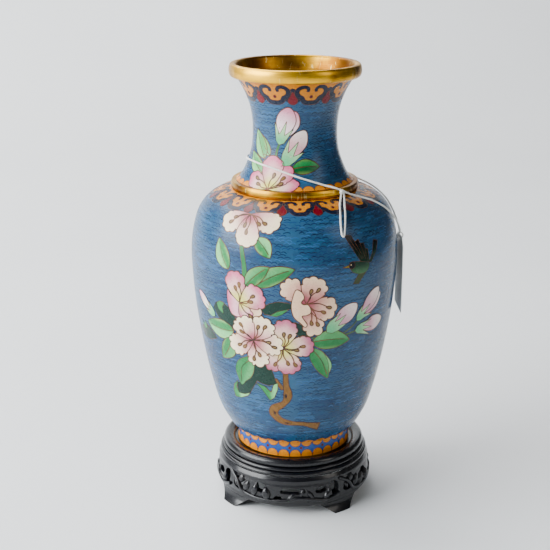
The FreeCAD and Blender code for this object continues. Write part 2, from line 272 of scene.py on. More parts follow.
def lining_material(name, colour):
    """Counter-enamel: fired but unpolished, so it is grainy and less glossy."""
    g = Graph(name)
    cloud = g.noise(60, 4)
    grain = g.noise(700, 3)
    g.set(Base_Color=g.blend(g.remap(cloud, 0.3, 0.7), mix(colour, NAVY, 0.4), colour),
          Roughness=g.remap(grain, 0.3, 0.7, 0.35, 0.6))
    g.bumps((grain, 0.3, 0.08), (cloud, 0.3, 0.3))
    return g.material


def copper_material(name):
    g = Graph(name)
    tone = g.noise(45, 4)
    turned = g.noise(200, 2, stretch=(0.4, 0.4, 12))
    g.set(Base_Color=g.blend(g.remap(tone, 0.35, 0.65), srgb(120, 66, 44), srgb(196, 120, 84)),
          Metallic=1.0, Roughness=g.remap(turned, 0.3, 0.7, 0.28, 0.45))
    g.bumps((turned, 0.2, 0.05))
    return g.material


def cotton_material(name):
    g = Graph(name)
    fuzz = g.noise(2600, 3)
    soil = g.noise(70, 3)
    colour = g.blend(g.remap(soil, 0.35, 0.7), srgb(248, 248, 244), srgb(222, 221, 214))
    colour = g.blend(g.remap(fuzz, 0.5, 0.75, 0.0, 0.3), colour, srgb(186, 184, 178))
    g.set(Base_Color=colour, Roughness=0.9, Sheen_Weight=0.4)
    g.bumps((fuzz, 0.6, 0.12))
    return g.material


def card_material(name):
    g = Graph(name)
    fibre = g.noise(900, 4, stretch=(1, 1, 2.5))
    tone = g.noise(60, 3)
    colour = g.blend(g.remap(tone, 0.3, 0.7), srgb(232, 232, 228), srgb(214, 215, 214))
    colour = g.blend(g.remap(fibre, 0.5, 0.75, 0.0, 0.25), colour, srgb(186, 186, 182))
    g.set(Base_Color=colour, Roughness=g.remap(fibre, 0.3, 0.7, 0.6, 0.8))
    g.bumps((fibre, 0.25, 0.05))
    return g.material


GILT = gilt_material("gilt_brass", srgb(236, 180, 32), srgb(124, 76, 10), 0.33)
GILT_INSIDE = gilt_material("gilt_inside", srgb(226, 168, 26), srgb(128, 80, 10), 0.4)
WIRE = wire_material("cell_wire", srgb(104, 58, 28), srgb(44, 22, 12), 0.36)
INLAY = inlay_material("motif_enamel")
RIPPLE_WIRE = inlay_material("ripple_wire")
RIPPLE_TINTS = (srgb(4, 14, 44), srgb(6, 22, 58), srgb(10, 36, 80), srgb(18, 50, 94), srgb(46, 94, 146))
BLUE_GROUND = ground_material("blue_ground_enamel", GROUND_BLUE)
FOOT_GROUND = ground_material("foot_ground_enamel", BRIGHT_BLUE)
LINING = lining_material("counter_enamel", srgb(40, 110, 150))
COPPER = copper_material("spun_copper")
LACQUER = lacquer_material("black_lacquer")
COTTON = cotton_material("cotton_string")
CARD = card_material("blank_card")


# ---------------------------------------------------------------- meshes

class Builder:
    """Collects closed solids into one piece, with a tint for every vertex."""

    def __init__(self):
        self.points = []
        self.faces = []
        self.tints = []

    def add(self, points, faces, tints):
        start = len(self.points)
        self.points.extend(points)
        self.faces.extend([tuple(start + i for i in face) for face in faces])
        self.tints.extend(tints)

    def piece(self, name, material, body, slot, replaces=(), sharp=40):
        mesh = bpy.data.meshes.new(name)
        mesh.from_pydata([(x * MM, y * MM, z * MM) for x, y, z in self.points], [], self.faces)
        mesh.polygons.foreach_set("use_smooth", [True] * len(mesh.polygons))
        if self.tints:
            tint = mesh.color_attributes.new("tint", "FLOAT_COLOR", "POINT")
            flat = np.ones((len(self.points), 4))
            flat[:, :3] = self.tints
            tint.data.foreach_set("color", flat.ravel())
        mesh.set_sharp_from_angle(angle=math.radians(sharp))
        mesh.materials.append(material)
        mesh.validate()
        piece = bpy.data.objects.new(name, mesh)
        bpy.context.scene.collection.objects.link(piece)
        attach(piece, body)
        if replaces:
            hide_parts(*replaces)


def catmull(points, closed, per_span):
    """Points of a smooth curve through the given points."""
    pts = [np.array(p, float) for p in points]
    n = len(pts)
    result = []
    for i in range(n if closed else n - 1):
        around = [(i + k) % n if closed else min(max(i + k, 0), n - 1) for k in (-1, 0, 1, 2)]
        p0, p1, p2, p3 = (pts[k] for k in around)
        for j in range(per_span):
            t = j / per_span
            result.append(0.5 * (2 * p1 + (p2 - p0) * t + (2 * p0 - 5 * p1 + 4 * p2 - p3) * t ** 2
                                 + (3 * p1 - p0 - 3 * p2 + p3) * t ** 3))
    if not closed:
        result.append(pts[-1])
    return result


def resample(points, step, closed):
    """Evenly spaced points along a polyline."""
    pts = np.array(points, float)
    if closed:
        pts = np.vstack([pts, pts[:1]])
    length = np.r_[0, np.cumsum(np.linalg.norm(np.diff(pts, axis=0), axis=1))]
    count = max(int(round(length[-1] / step)), 3)
    at = np.linspace(0, length[-1], count + 1)
    out = np.stack([np.interp(at, length, pts[:, k]) for k in range(pts.shape[1])], axis=1)
    return out[:-1] if closed else out


def swept_faces(rings, sides, closed):
    """Faces that join rings of points one after another, with ends on an open run."""
    faces = []
    for i in range(rings if closed else rings - 1):
        j = (i + 1) % rings
        for k in range(sides):
            m = (k + 1) % sides
            faces.append((i * sides + k, i * sides + m, j * sides + m, j * sides + k))
    if not closed:
        faces.append(tuple(range(sides - 1, -1, -1)))
        faces.append(tuple((rings - 1) * sides + k for k in range(sides)))
    return faces


def unit(vectors):
    return vectors / np.linalg.norm(vectors, axis=1)[:, None]


def heading(path, closed):
    """Unit vectors along a path."""
    if closed:
        return unit(np.roll(path, -1, axis=0) - np.roll(path, 1, axis=0))
    return unit(np.gradient(path, axis=0))


def sideways(path, closed=False):
    """Unit vectors across a flat path."""
    ahead = heading(path, closed)
    return np.stack([-ahead[:, 1], ahead[:, 0]], axis=1)


def round_outline(corners, radius, centre=(0, 0), tall=1.0):
    """Outline of a circle, or of an ellipse that is tall times as high as it is wide."""
    turns = np.linspace(0, 2 * math.pi, corners + 1)[:-1]
    return [(centre[0] + radius * math.cos(a), centre[1] + tall * radius * math.sin(a)) for a in turns]


def inside(outline, x, y):
    """Whether a point lies in a closed outline."""
    hit = False
    count = len(outline)
    for i in range(count):
        x1, y1 = outline[i]
        x2, y2 = outline[(i + 1) % count]
        if (y1 > y) != (y2 > y) and x < (x2 - x1) * (y - y1) / (y2 - y1) + x1:
            hit = not hit
    return hit


def edge_distance(outline, x, y):
    """Distance from a point to the nearest corner of a finely sampled outline."""
    gap = np.asarray(outline) - (x, y)
    return math.sqrt((gap * gap).sum(axis=1).min())


def triangulate(outlines, spacing):
    """Triangles of the area in the first outline and outside the others, evenly filled."""
    outer = outlines[0]
    flat = [Vector(p) for loop in outlines for p in loop]
    edges = []
    start = 0
    for loop in outlines:
        edges += [(start + i, start + (i + 1) % len(loop)) for i in range(len(loop))]
        start += len(loop)
    low = np.min(outer, axis=0)
    high = np.max(outer, axis=0)
    every = np.vstack(outlines)
    row = 0
    y = low[1] + spacing / 2
    while y < high[1]:
        x = low[0] + spacing * (0.5 if row % 2 else 0.25)
        while x < high[0]:
            if inside(outer, x, y) and not any(inside(hole, x, y) for hole in outlines[1:]):
                if edge_distance(every, x, y) > 0.5 * spacing:
                    flat.append(Vector((x, y)))
            x += spacing
        y += spacing * 0.866
        row += 1
    points, _, faces, _, _, _ = delaunay_2d_cdt(flat, edges, [], 1, 1e-5)
    points = [(p.x, p.y) for p in points]
    kept = []
    for face in faces:
        cx = sum(points[i][0] for i in face) / 3
        cy = sum(points[i][1] for i in face) / 3
        if not any(inside(hole, cx, cy) for hole in outlines[1:]):
            kept.append(face)
    return points, kept


def slab_faces(faces, count):
    """Closed solid from a sheet: its top, its bottom and the walls along its borders."""
    directed = {}
    for face in faces:
        for i in range(3):
            directed[(face[i], face[(i + 1) % 3])] = True
    walls = [(b, a, a + count, b + count) for a, b in directed if (b, a) not in directed]
    bottom = [tuple(i + count for i in reversed(face)) for face in faces]
    return [tuple(face) for face in faces] + bottom + walls


# ---------------------------------------------------------------- the vase's surface

class Skin:
    """Outer surface of turned CAD nodes, with places on it by angle and height."""

    def __init__(self, nodes, centre=None):
        points = []
        faces = []
        for name in nodes:
            mesh = NODES[name].data
            start = len(points)
            points += [v.co.copy() for v in mesh.vertices]
            faces += [tuple(start + i for i in poly.vertices) for poly in mesh.polygons]
        tree = BVHTree.FromPolygons(points, faces)
        low = min(p.z for p in points)
        high = max(p.z for p in points)
        profile = self.polar(tree, centre) if centre else self.level(tree, low, high)
        self.r = np.array([p[0] for p in profile]) / MM
        self.z = np.array([p[1] for p in profile]) / MM
        for _ in range(3):
            self.r[1:-1] = (self.r[:-2] + 2 * self.r[1:-1] + self.r[2:]) / 4
            self.z[1:-1] = (self.z[:-2] + 2 * self.z[1:-1] + self.z[2:]) / 4
        self.s = np.r_[0, np.cumsum(np.hypot(np.diff(self.r), np.diff(self.z)))]
        dr = np.gradient(self.r, self.s)
        dz = np.gradient(self.z, self.s)
        size = np.hypot(dr, dz)
        self.nr = dz / size
        self.nz = -dr / size
        self.length = self.s[-1]

    @staticmethod
    def farthest(tree, origin, spread, inwards):
        """Outermost hit among casts inwards at several angles: (distance from the axis, height)."""
        best = None
        for k in range(12):
            a = 2 * math.pi * (k + 0.37) / 12
            turn = Vector((math.cos(a), math.sin(a), 0))
            start = Vector((turn.x * origin[0], turn.y * origin[0], origin[1]))
            aim = Vector((turn.x * inwards[0], turn.y * inwards[0], inwards[1]))
            hit = tree.ray_cast(start, aim, spread)[0]
            if hit is not None:
                far = (math.hypot(hit.x, hit.y), hit.z)
                reach = (hit - start).length
                if best is None or reach < best[0]:
                    best = (reach, far)
        return best[1] if best else None

    def level(self, tree, low, high):
        """Profile of a wall that each height crosses once."""
        heights = np.linspace(low + 0.02 * MM, high - 0.02 * MM, 90)
        found = [self.farthest(tree, (0.2, z), 0.4, (-1, 0)) for z in heights]
        return [p for p in found if p]

    def polar(self, tree, centre):
        """Profile of a rounded body, seen from a point on its axis."""
        found = []
        for angle in np.linspace(-88, 88, 353):
            a = math.radians(angle)
            origin = (0.3 * math.cos(a), centre + 0.3 * math.sin(a))
            hit = self.farthest(tree, origin, 0.3, (-math.cos(a), -math.sin(a)))
            if hit:
                found.append(hit)
        return found

    def at_height(self, height):
        """Distance along the profile at a height above the vase's foot."""
        return float(np.interp(height + FOOT_Z, self.z, self.s))

    def place(self, anchor, xy, lift):
        """Points at (x, y) in mm from an anchor (angle, distance along the profile)."""
        xy = np.atleast_2d(np.asarray(xy, float))
        s = anchor[1] + xy[:, 1]
        r = np.interp(s, self.s, self.r)
        z = np.interp(s, self.s, self.z)
        a = math.radians(anchor[0]) + xy[:, 0] / r
        out = r + np.interp(s, self.s, self.nr) * lift
        up = z + np.interp(s, self.s, self.nz) * lift
        return np.stack([out * np.sin(a), -out * np.cos(a), up], axis=1)


FOOT_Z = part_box("foot_edge_ring")[0].z / MM
BODY_MID = (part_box("body_enamel")[0].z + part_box("body_enamel")[1].z) / 2
BODY = Skin(["body_enamel", "shoulder_ruyi_border"], BODY_MID)
NECK = Skin(["neck_scallop_border", "neck_enamel", "neck_ruyi_border"])
FOOT = Skin(["foot_enamel"])

# Heights above the vase's foot where one enamel band ends and the next begins.
SHOULDER_EDGE = 151.4
NECK_SCALLOP_EDGE = 165.6
NECK_RUYI_EDGE = 209.6

SINK = 0.12           # how far a cell's underside lies below the ground enamel
LEVEL = 0.03          # height between one layer of cells and the next
CELL_LIFT = 0.05      # lowest layer of cells above the ground enamel
WIRE_PROUD = 0.022    # wire above its cell
WIRE_HALF = 0.25      # half the width of a cell wire
STAMEN_WIRE = 0.32    # the same for the finer and bolder wires
RIB_WIRE = 0.24
LEAF_WIRE = 0.16
BORDER_WIRE = 0.13
SCALLOP_WIRE = 0.14
HAIR_WIRE = 0.12
SCALLOPS = 31         # cells in each scalloped row
FIRST_SCALLOP = 2     # angle of the first one
FILL_STEP = 1.7       # spacing of points inside a cell
EDGE_STEP = 0.55      # spacing of points along a cell's outline


def rise(level):
    return CELL_LIFT + LEVEL * level


def cell(builder, skin, anchor, outline, level, tint):
    """One enamel cell: a thin closed solid that follows the vase's surface."""
    flat, faces = triangulate([resample(outline, EDGE_STEP, True)], FILL_STEP)
    top = skin.place(anchor, flat, rise(level))
    low = skin.place(anchor, flat, -SINK)
    if callable(tint):
        tints = [tint(x, y) for x, y in flat]
    else:
        tints = [tint] * len(flat)
    builder.add([*top, *low], slab_faces(faces, len(flat)), tints * 2)


def rail(builder, skin, anchor, path, section, closed=False, tint=None):
    """A section of (sideways, lift) points swept along a flat path on a skin."""
    across = sideways(path, closed)
    rails = [skin.place(anchor, path + across * side, lift) for side, lift in section]
    points = np.stack(rails, axis=1).reshape(-1, 3)
    tints = [tint] * len(points) if tint else []
    builder.add(list(points), swept_faces(len(path), len(section), closed), tints)


def wire(builder, skin, anchor, path, level, half, closed=False):
    """A flat wire on edge, with a slightly rounded top, along a path on the surface."""
    top = rise(level) + WIRE_PROUD
    brow = top - 0.6 * WIRE_PROUD
    section = [(-half, -SINK), (-half, brow), (0, top), (half, brow), (half, -SINK)]
    rail(builder, skin, anchor, resample(path, EDGE_STEP, closed), section, closed)


def lined(cells, wires, skin, anchor, outline, level, tint, half=WIRE_HALF):
    """A cell with a wire along its whole outline."""
    cell(cells, skin, anchor, outline, level, tint)
    wire(wires, skin, anchor, outline, level, half, closed=True)


def turned_to(points, direction):
    """Points (along, across) laid out towards a direction in degrees."""
    c = math.cos(math.radians(direction))
    s = math.sin(math.radians(direction))
    return [(u * c - v * s, u * s + v * c) for u, v in points]


def along_across(direction, x, y):
    """How far a point lies along and across a direction in degrees."""
    a = math.radians(direction)
    return x * math.cos(a) + y * math.sin(a), -x * math.sin(a) + y * math.cos(a)


def fade(first, second, axis, start, end):
    """A tint that changes from one colour to another between two places along x or y."""
    return lambda x, y: mix(first, second, smooth(start, end, (x, y)[axis]))


def stroke(path, halves):
    """Closed outline of a band drawn along a path with a changing half width."""
    path = resample(catmull(path, False, 6), EDGE_STEP, False)
    spot = np.linspace(0, 1, len(path))
    half = np.interp(spot, np.linspace(0, 1, len(halves)), halves)
    edge = sideways(path) * half[:, None]
    return np.vstack([path + edge, (path - edge)[::-1]])


# ---------------------------------------------------------------- flowers, leaves and buds

class Look:
    """A flower's enamels: at the petals' edges, over their middle, round the heart and to a side."""

    def __init__(self, edge, middle, heart, side):
        self.edge = edge
        self.middle = middle
        self.heart = heart
        self.side = side

    def tint(self, direction, length, width, turn):
        def colour(x, y):
            u, v = along_across(direction, x, y)
            t = u / length
            side = v / width * turn
            shade = mix(self.heart, self.middle, smooth(0.12, 0.62, t))
            shade = mix(shade, self.side, 0.75 * smooth(0.05, 0.42, side) * smooth(0.95, 0.55, t))
            return mix(shade, self.edge, smooth(0.6, 0.98, t + 0.3 * abs(side)))
        return colour


WHITE_FLOWER = Look(CREAM, srgb(244, 208, 180), ROSE, srgb(222, 160, 160))
TAUPE_FLOWER = Look(srgb(240, 204, 166), srgb(222, 170, 146), srgb(146, 66, 76), srgb(186, 116, 116))
PINK_FLOWER = Look(PINK, srgb(232, 178, 178), LEMON, LILAC)
LILAC_FLOWER = Look(LILAC, srgb(226, 178, 172), LEMON, srgb(224, 182, 160))


def petal_outline(length, width, lobes, depth):
    """A petal that widens from the heart to a tip cut into rounded lobes."""
    half = width / 2
    side = [(0.3, 0.5), (0.2 * length, 0.52 * half), (0.42 * length, 0.88 * half),
            (0.62 * length, 1.06 * half), (0.8 * length, half), (0.94 * length, 0.62 * half)]
    ring = side + [(length, 0)] + [(u, -v) for u, v in reversed(side)]
    curve = resample(catmull(ring, True, 8), 0.3, True)
    towards = curve - (0.55 * length, 0)
    angle = np.arctan2(towards[:, 1], towards[:, 0])
    reach = math.radians(88)
    inside_tip = np.abs(angle) < reach
    cuts = np.linspace(-reach, reach, lobes + 1)
    cuts[1:-1] += [random.uniform(-0.16, 0.16) for _ in range(lobes - 1)]
    place = np.interp(angle, cuts, np.arange(lobes + 1))
    dent = depth * random.uniform(0.8, 1.25) * (1 - np.abs(np.sin(np.pi * place)) ** 0.6)
    size = np.linalg.norm(towards, axis=1)
    moved = curve - towards / size[:, None] * np.where(inside_tip, dent, 0)[:, None]
    return [tuple(p) for p in moved]


def behind_a_petal(point, petals):
    """Whether a point near the heart lies behind one of the petals."""
    direction = math.degrees(math.atan2(point[1], point[0]))
    return min(abs((direction - d + 180) % 360 - 180) for d, _, _ in petals) < 34


LEAF_PEAK = 0.311      # what t ** 0.75 * (1 - t) ** 0.95 comes to where a leaf is widest


class Spray:
    """Motifs on one skin, with a builder for each kind of cell and wire.

    A place is (angle, height above the vase's foot), and points are millimetres from it."""

    def __init__(self, prefix, skin):
        self.prefix = prefix
        self.skin = skin
        kinds = ("petals", "wires", "anthers", "leaves", "dark_leaves", "leaf_wires", "branch", "bird")
        self.parts = {kind: Builder() for kind in kinds}

    def at(self, place):
        return (place[0], self.skin.at_height(place[1]))

    def wire(self, kind, place, path, level, half):
        wire(self.parts[kind], self.skin, self.at(place), path, level, half)

    def lined(self, kind, place, outline, level, tint, half=WIRE_HALF):
        """A cell with a wire along its whole outline."""
        wires = self.parts["leaf_wires" if "leaves" in kind else "wires"]
        lined(self.parts[kind], wires, self.skin, self.at(place), outline, level, tint, half)

    def stamens(self, place, specs, level):
        """Curved filaments from the heart, each ending in a small looped anther."""
        for direction, length in specs:
            bend = random.choice((-1, 1)) * 0.11 * length
            stem = turned_to([(0.4, 0), (0.5 * length, bend), (length - 1.6, 0.3 * bend)], direction)
            self.wire("wires", place, catmull(stem, False, 5), level, STAMEN_WIRE)
            loop = [(length - 1.8, 0), (length - 0.4, 0.75), (length + 0.9, 0.8), (length + 1.5, 0),
                    (length + 0.9, -0.8), (length - 0.4, -0.75)]
            ring = catmull(turned_to(loop, direction), True, 4)
            self.lined("anthers", place, ring, level, ANTHER, STAMEN_WIRE)

    def flower(self, place, petals, stems, look, level, lobes, depth):
        """Petals are listed back to front, and the stamens lie over them all."""
        if len(petals) > 1:
            heart = [p for p in round_outline(16, 0.42 * petals[0][1]) if behind_a_petal(p, petals)]
            if len(heart) > 8:
                tint = mix(look.heart, look.middle, 0.4)
                cell(self.parts["petals"], self.skin, self.at(place), heart, level - 1, tint)
        for i, (direction, length, width) in enumerate(petals):
            outline = turned_to(petal_outline(length, width, lobes, depth), direction)
            turn = 1 if random.random() < 0.5 else -1
            self.lined("petals", place, outline, level + i, look.tint(direction, length, width, turn))
        self.stamens(place, stems, level + len(petals))

    def leaf(self, spec, level, light, deep):
        """A pointed leaf with a bent midrib, lighter on one side of it."""
        *place, direction, length, width = spec
        bend = 0.24 * length
        steps = np.linspace(0, 1, 15)
        rib = [(t * length, bend * t * (1 - t)) for t in steps]
        halves = [0.5 * width * t ** 0.75 * (1 - t) ** 0.95 / LEAF_PEAK for t in steps]
        left = [(u, v + half) for (u, v), half in zip(rib, halves)]
        right = [(u, v - half) for (u, v), half in zip(rib, halves)]

        def colour(x, y):
            u, v = along_across(direction, x, y)
            t = min(max(u / length, 0), 1)
            off = (v - bend * t * (1 - t)) / width
            base = mix(deep, light, smooth(-0.05, 0.1, off))
            return mix(base, mix(light, LEMON, 0.25), 0.6 * smooth(0.3, 0.5, abs(off)))

        self.lined("leaves", place, turned_to(left + right[-2:0:-1], direction), level, colour)
        self.wire("leaf_wires", place, turned_to(rib[:-2], direction), level, RIB_WIRE)

    def shaped_leaf(self, place, outline, rib, level, light, deep):
        """A leaf with an outline of its own, lighter on one side of its midrib."""
        x0, y0 = rib[0]
        x1, y1 = rib[-1]
        length = math.hypot(x1 - x0, y1 - y0)

        def colour(x, y):
            off = ((x1 - x0) * (y - y0) - (y1 - y0) * (x - x0)) / length
            return mix(deep, light, smooth(-1.5, 3.5, off))

        self.lined("leaves", place, catmull(outline, True, 4), level, colour, LEAF_WIRE)
        self.wire("leaf_wires", place, catmull(rib, False, 5), level, RIB_WIRE)

    def shaded(self, place, *outlines):
        """Leaves that lie in the shade behind the others."""
        for outline in outlines:
            self.lined("dark_leaves", place, outline, 0, SHADE_GREEN, LEAF_WIRE)

    def bud(self, place, spec, sepals, crown, level, tip, body, double=False):
        """A closed bud: one or two petals in a green cup with three long sepals."""
        direction, length, width = spec
        half = width / 2
        shape = [(0.2 * length, 0), (0.36 * length, 0.62 * half), (0.58 * length, 0.98 * half),
                 (0.82 * length, 0.8 * half), (length, 0.12 * half), (0.94 * length, -0.5 * half),
                 (0.7 * length, -0.98 * half), (0.42 * length, -0.75 * half)]

        def colour(x, y):
            u, _ = along_across(direction, x, y)
            return mix(body, tip, smooth(0.45, 0.95, u / length))

        if double:
            beside = turned_to([(0.96 * x, 0.96 * y) for x, y in shape], direction - 10)
            self.lined("petals", place, catmull(beside, True, 6), level, colour)
        self.lined("petals", place, catmull(turned_to(shape, direction), True, 6), level + 1, colour)
        reach = math.hypot(*crown)
        corner = [(0.3 * reach, 0.42 * reach), (0.8 * reach, 0.6 * reach)]
        ring = [(0, 0)] + turned_to(corner, direction)
        for i, (angle, size) in enumerate(sorted(sepals, reverse=True)):
            if i:
                ring += turned_to([(1.05 * reach, (0.75 - 0.5 * i) * reach)], direction)
            ring += turned_to([(size, 0)], angle)
        ring += turned_to([(x, -y) for x, y in reversed(corner)], direction)

        def green(x, y):
            far = math.hypot(x, y) / reach
            return mix(mix(LEAF_GREEN, MINT, 0.7), mix(MINT, CREAM, 0.3), smooth(0.3, 2.0, far))

        self.lined("leaves", place, ring, level + 2, green, LEAF_WIRE)

    def stalk(self, place, path, half=0.45):
        outline = stroke(path, [half * 1.3, half, half * 0.9])
        self.lined("leaves", place, outline, 1, mix(LEAF_GREEN, DEEP_GREEN, 0.3), HAIR_WIRE)

    def finish(self):
        """Make a piece of each kind that was used."""
        for kind, builder in self.parts.items():
            if builder.points:
                material, slot = (WIRE, "gilt") if "wires" in kind else (INLAY, "blue_enamel")
                builder.piece(f"{self.prefix}_{kind}", material, "vase", slot)


BIG = (-23, 82.5)      # places of the front's largest flowers
TAUPE = (6.5, 106)


def front_leaves(g):
    """Leaves round the front flowers: shaded ones behind, curled edges, then the open ones."""
    shadow = [(-1.3, -16), (-4.6, -25), (-10.5, -30.5), (-14.4, -31), (-14, -38.6), (-9.4, -38.2),
              (-5.6, -36.5), (0, -26.8), (2.9, -28.2), (6.9, -29.1), (11.4, -27.2), (10.6, -22.5),
              (8.5, -15)]
    side = [(-28, 14), (-25.5, 18), (-20.5, 19.5), (-15.5, 17), (-11, 12), (-10, 4), (-17, 5), (-24, 9)]
    far = [(-47, -4), (-38.5, 0.5), (-33.7, -0.5), (-27.1, -5.6), (-34.3, -8.6), (-43, -9.5)]
    g.shaded(BIG, shadow, side, far)
    left_tip = [(-13.2, -29.5), (-16.6, -33), (-17.6, -37.5), (-16.8, -41.9), (-12.5, -41.5),
                (-7.5, -38.8), (-5, -36), (-9.4, -38), (-13.6, -38.2), (-15, -34.5)]
    right_tip = [(-0.8, -28.2), (2.6, -32.3), (6.7, -39.2), (9.4, -37.1), (11.9, -31), (12.2, -26.8),
                 (9.7, -28), (7.9, -33.6), (4.6, -30)]
    for outline, split in ((left_tip, -13), (right_tip, 8)):
        tint = fade(LEAF_GREEN, PALE_GREEN, 0, split - 1.5, split + 1.5)
        g.lined("leaves", BIG, outline, 2, tint, 0.2)
    right_leaf = [(-25.5, -4), (-20.5, -0.4), (-15.2, 1), (-9.9, 0.4), (-6, -2), (-13.4, -4.8),
                  (-17.8, -7.5), (-23, -7.2)]
    gap = [(-6, -11), (-1, -13), (2.5, -19), (-3.6, -20), (-8, -15)]
    g.shaded(TAUPE, right_leaf, gap)
    for place, outline in (
            (TAUPE, [(-20, -7.7), (-16, -4.9), (-9.4, -3.2), (-13.4, -6.7), (-16.8, -8)]),
            (BIG, [(-25, 17.5), (-22.5, 19.4), (-18.5, 19), (-20.5, 16), (-19.5, 12), (-23.5, 14)]),
            (BIG, [(-45, 1), (-41, -0.5), (-39.5, 2), (-37.5, -2.5), (-40.5, -3.5)])):
        g.lined("leaves", place, outline, 1, LEAF_GREEN, LEAF_WIRE)

    for spec in [(-37, 122, 117, 18.5, 10), (-21.5, 141.5, -49, 14, 9), (-35.5, 85.5, 179, 23, 12)]:
        g.leaf(spec, 1, PALE_GREEN, LEAF_GREEN)
    middle = (mix(PALE_GREEN, LEAF_GREEN, 0.65), mix(LEAF_GREEN, DEEP_GREEN, 0.2))
    g.leaf((-26.5, 114, 41, 19, 9), 3, *middle)
    for spec in [(-20.5, 115, 26, 24.5, 10), (-37.5, 80.5, -123, 18, 10.5), (10, 82.5, -3, 23, 12)]:
        g.leaf(spec, 2, *middle)
    under = [(-2.5, -11), (-9.9, -14.2), (-13, -18.4), (-13.8, -22.8), (-12.6, -27.5), (-10.6, -31.8),
             (-7.5, -28.6), (-3.6, -25), (-1.4, -20), (-0.7, -14)]
    g.shaped_leaf(BIG, under, [(-4, -14), (-9.4, -20), (-10.6, -29.5)], 2, *middle)
    curled = [(6.5, -1), (10.8, -5.5), (13.3, -9.9), (13.6, -13), (12, -16.4), (10, -10)]
    lower = (8.5, 78)
    g.lined("leaves", lower, catmull(curled, True, 4), 1, PALE_GREEN, LEAF_WIRE)
    hanging = [(0, 1.5), (4.9, -0.2), (8.6, -3), (11.6, -10), (11.9, -19.4), (8.9, -17.8), (5, -13.7),
               (1.5, -7.7), (0.2, -3)]
    g.shaped_leaf(lower, hanging, [(2, 0), (7.6, -8), (11, -17.2)], 2, *middle)


def front_branch(g):
    """The twig that the spray grows on, with its side shoot and its knots."""
    place = (-6, 63)
    path = [(1.2, 5), (1.1, -3), (1.3, -8.5), (2.1, -13), (1.6, -18), (-1, -21.6), (-5.2, -24.5),
            (-6.6, -27.5), (-5, -31), (-1.5, -34), (4, -35.4), (11, -36.2), (19.5, -39)]

    def bark(x, y):
        return mix(BARK, BARK_RED, 0.35 + 0.35 * math.sin(1.3 * x + 0.9 * y))

    shoot = stroke([(-0.5, -11), (-2.6, -8), (-4.6, -4)], [1.2, 1.0, 0.6])
    g.lined("branch", place, shoot, 0, bark)
    widths = [1.2, 1.4, 1.6, 2.5, 1.6, 2.7, 2.2, 1.9, 1.3, 1.6, 3.1]
    g.lined("branch", place, stroke(path, widths), 1, bark)
    knots = [[(1, -13.8), (1.8, -15.6), (1, -17.4), (0.2, -15.6)],
             [(-6.6, -26.6), (-4.8, -28), (-5.8, -30)],
             [(-0.8, -34.6), (1.5, -34.9), (3.6, -35.7), (1.2, -35.9)]]
    for knot in knots:
        g.lined("branch", place, knot, 2, KNOT_BROWN, HAIR_WIRE)


def front_flowers(g):
    pink = (-30, 104)
    g.flower(pink, [(-21, 14, 7.5)], [], TAUPE_FLOWER, 3, 3, 0.4)
    turned_back = [(-7.9, 6.6), (-6.3, 4.3), (-2.8, 2.2), (0.1, 1.7), (1.2, -0.5), (1.4, -4.2),
                   (0.6, -8.6), (-2.4, -9), (-5.7, -8), (-7.4, -5.4), (-8.5, -1), (-8.7, 3.5)]
    blush = fade(srgb(230, 166, 180), PINK, 0, -3, -9)
    g.lined("petals", pink, catmull(turned_back, True, 4), 4, blush)
    g.flower(pink, [(-62, 11.5, 8.5), (103, 18.5, 12.5), (26, 16.5, 14.5)],
             [(90, 10.5), (107, 8.5), (30, 9.5), (11, 7), (-49, 9.5)], PINK_FLOWER, 5, 4, 1.1)
    lower = (-6, 79)
    g.flower(lower, [(-119, 17, 10.5), (-73, 17.5, 13), (6, 17.5, 12.5), (83, 18, 13)],
             [(86, 8.5), (64, 8.5), (6, 11), (-9, 7.5), (-75, 10), (-58, 12.5), (-113, 11.5)],
             LILAC_FLOWER, 4, 5, 1.1)
    g.flower(TAUPE, [(134, 18.5, 12.5), (-73, 21, 11.5), (-18, 18, 13.5), (66, 16.5, 14.5)],
             [(71, 7.5), (50, 10), (-13, 13), (-30, 11), (-76, 12), (-63, 14)], TAUPE_FLOWER, 8, 4, 1.6)
    fold = [(-5.9, 8.2), (-2.6, 6.8), (-1.3, 3.6), (-2.9, 1), (-1.7, -0.4), (0.8, -0.5),
            (2.4, -3.3), (2.2, -5.6), (0.1, -6.8), (-2.4, -7.2), (-1.1, -9.6), (0.6, -12.4),
            (-0.6, -14), (-3.2, -11.4), (-6.6, -8.1), (-8.1, -3.5), (-8, 1.9)]
    g.lined("petals", TAUPE, catmull(fold, True, 4), 13, srgb(236, 194, 158))
    g.flower(BIG, [(-79, 17.5, 12.5), (-155, 17.5, 13), (-10, 17.5, 13), (55, 17, 13.5), (125, 15.5, 14)],
             [(131, 11), (150, 8), (68, 9), (50, 11.5), (-153, 10), (-138, 7.5), (-3, 9), (-15, 12.5),
              (-71, 9.5), (-92, 12)], WHITE_FLOWER, 9, 5, 1.5)
    top = (-28, 152.2)
    g.flower(top, [(-18, 19.5, 12), (-152, 19, 12), (-85, 19, 13.5)],
             [(-160, 9), (-150, 12.5), (-101, 7), (-88, 10.5), (-39, 8.5), (-26, 11)], WHITE_FLOWER,
             3, 5, 0.9)


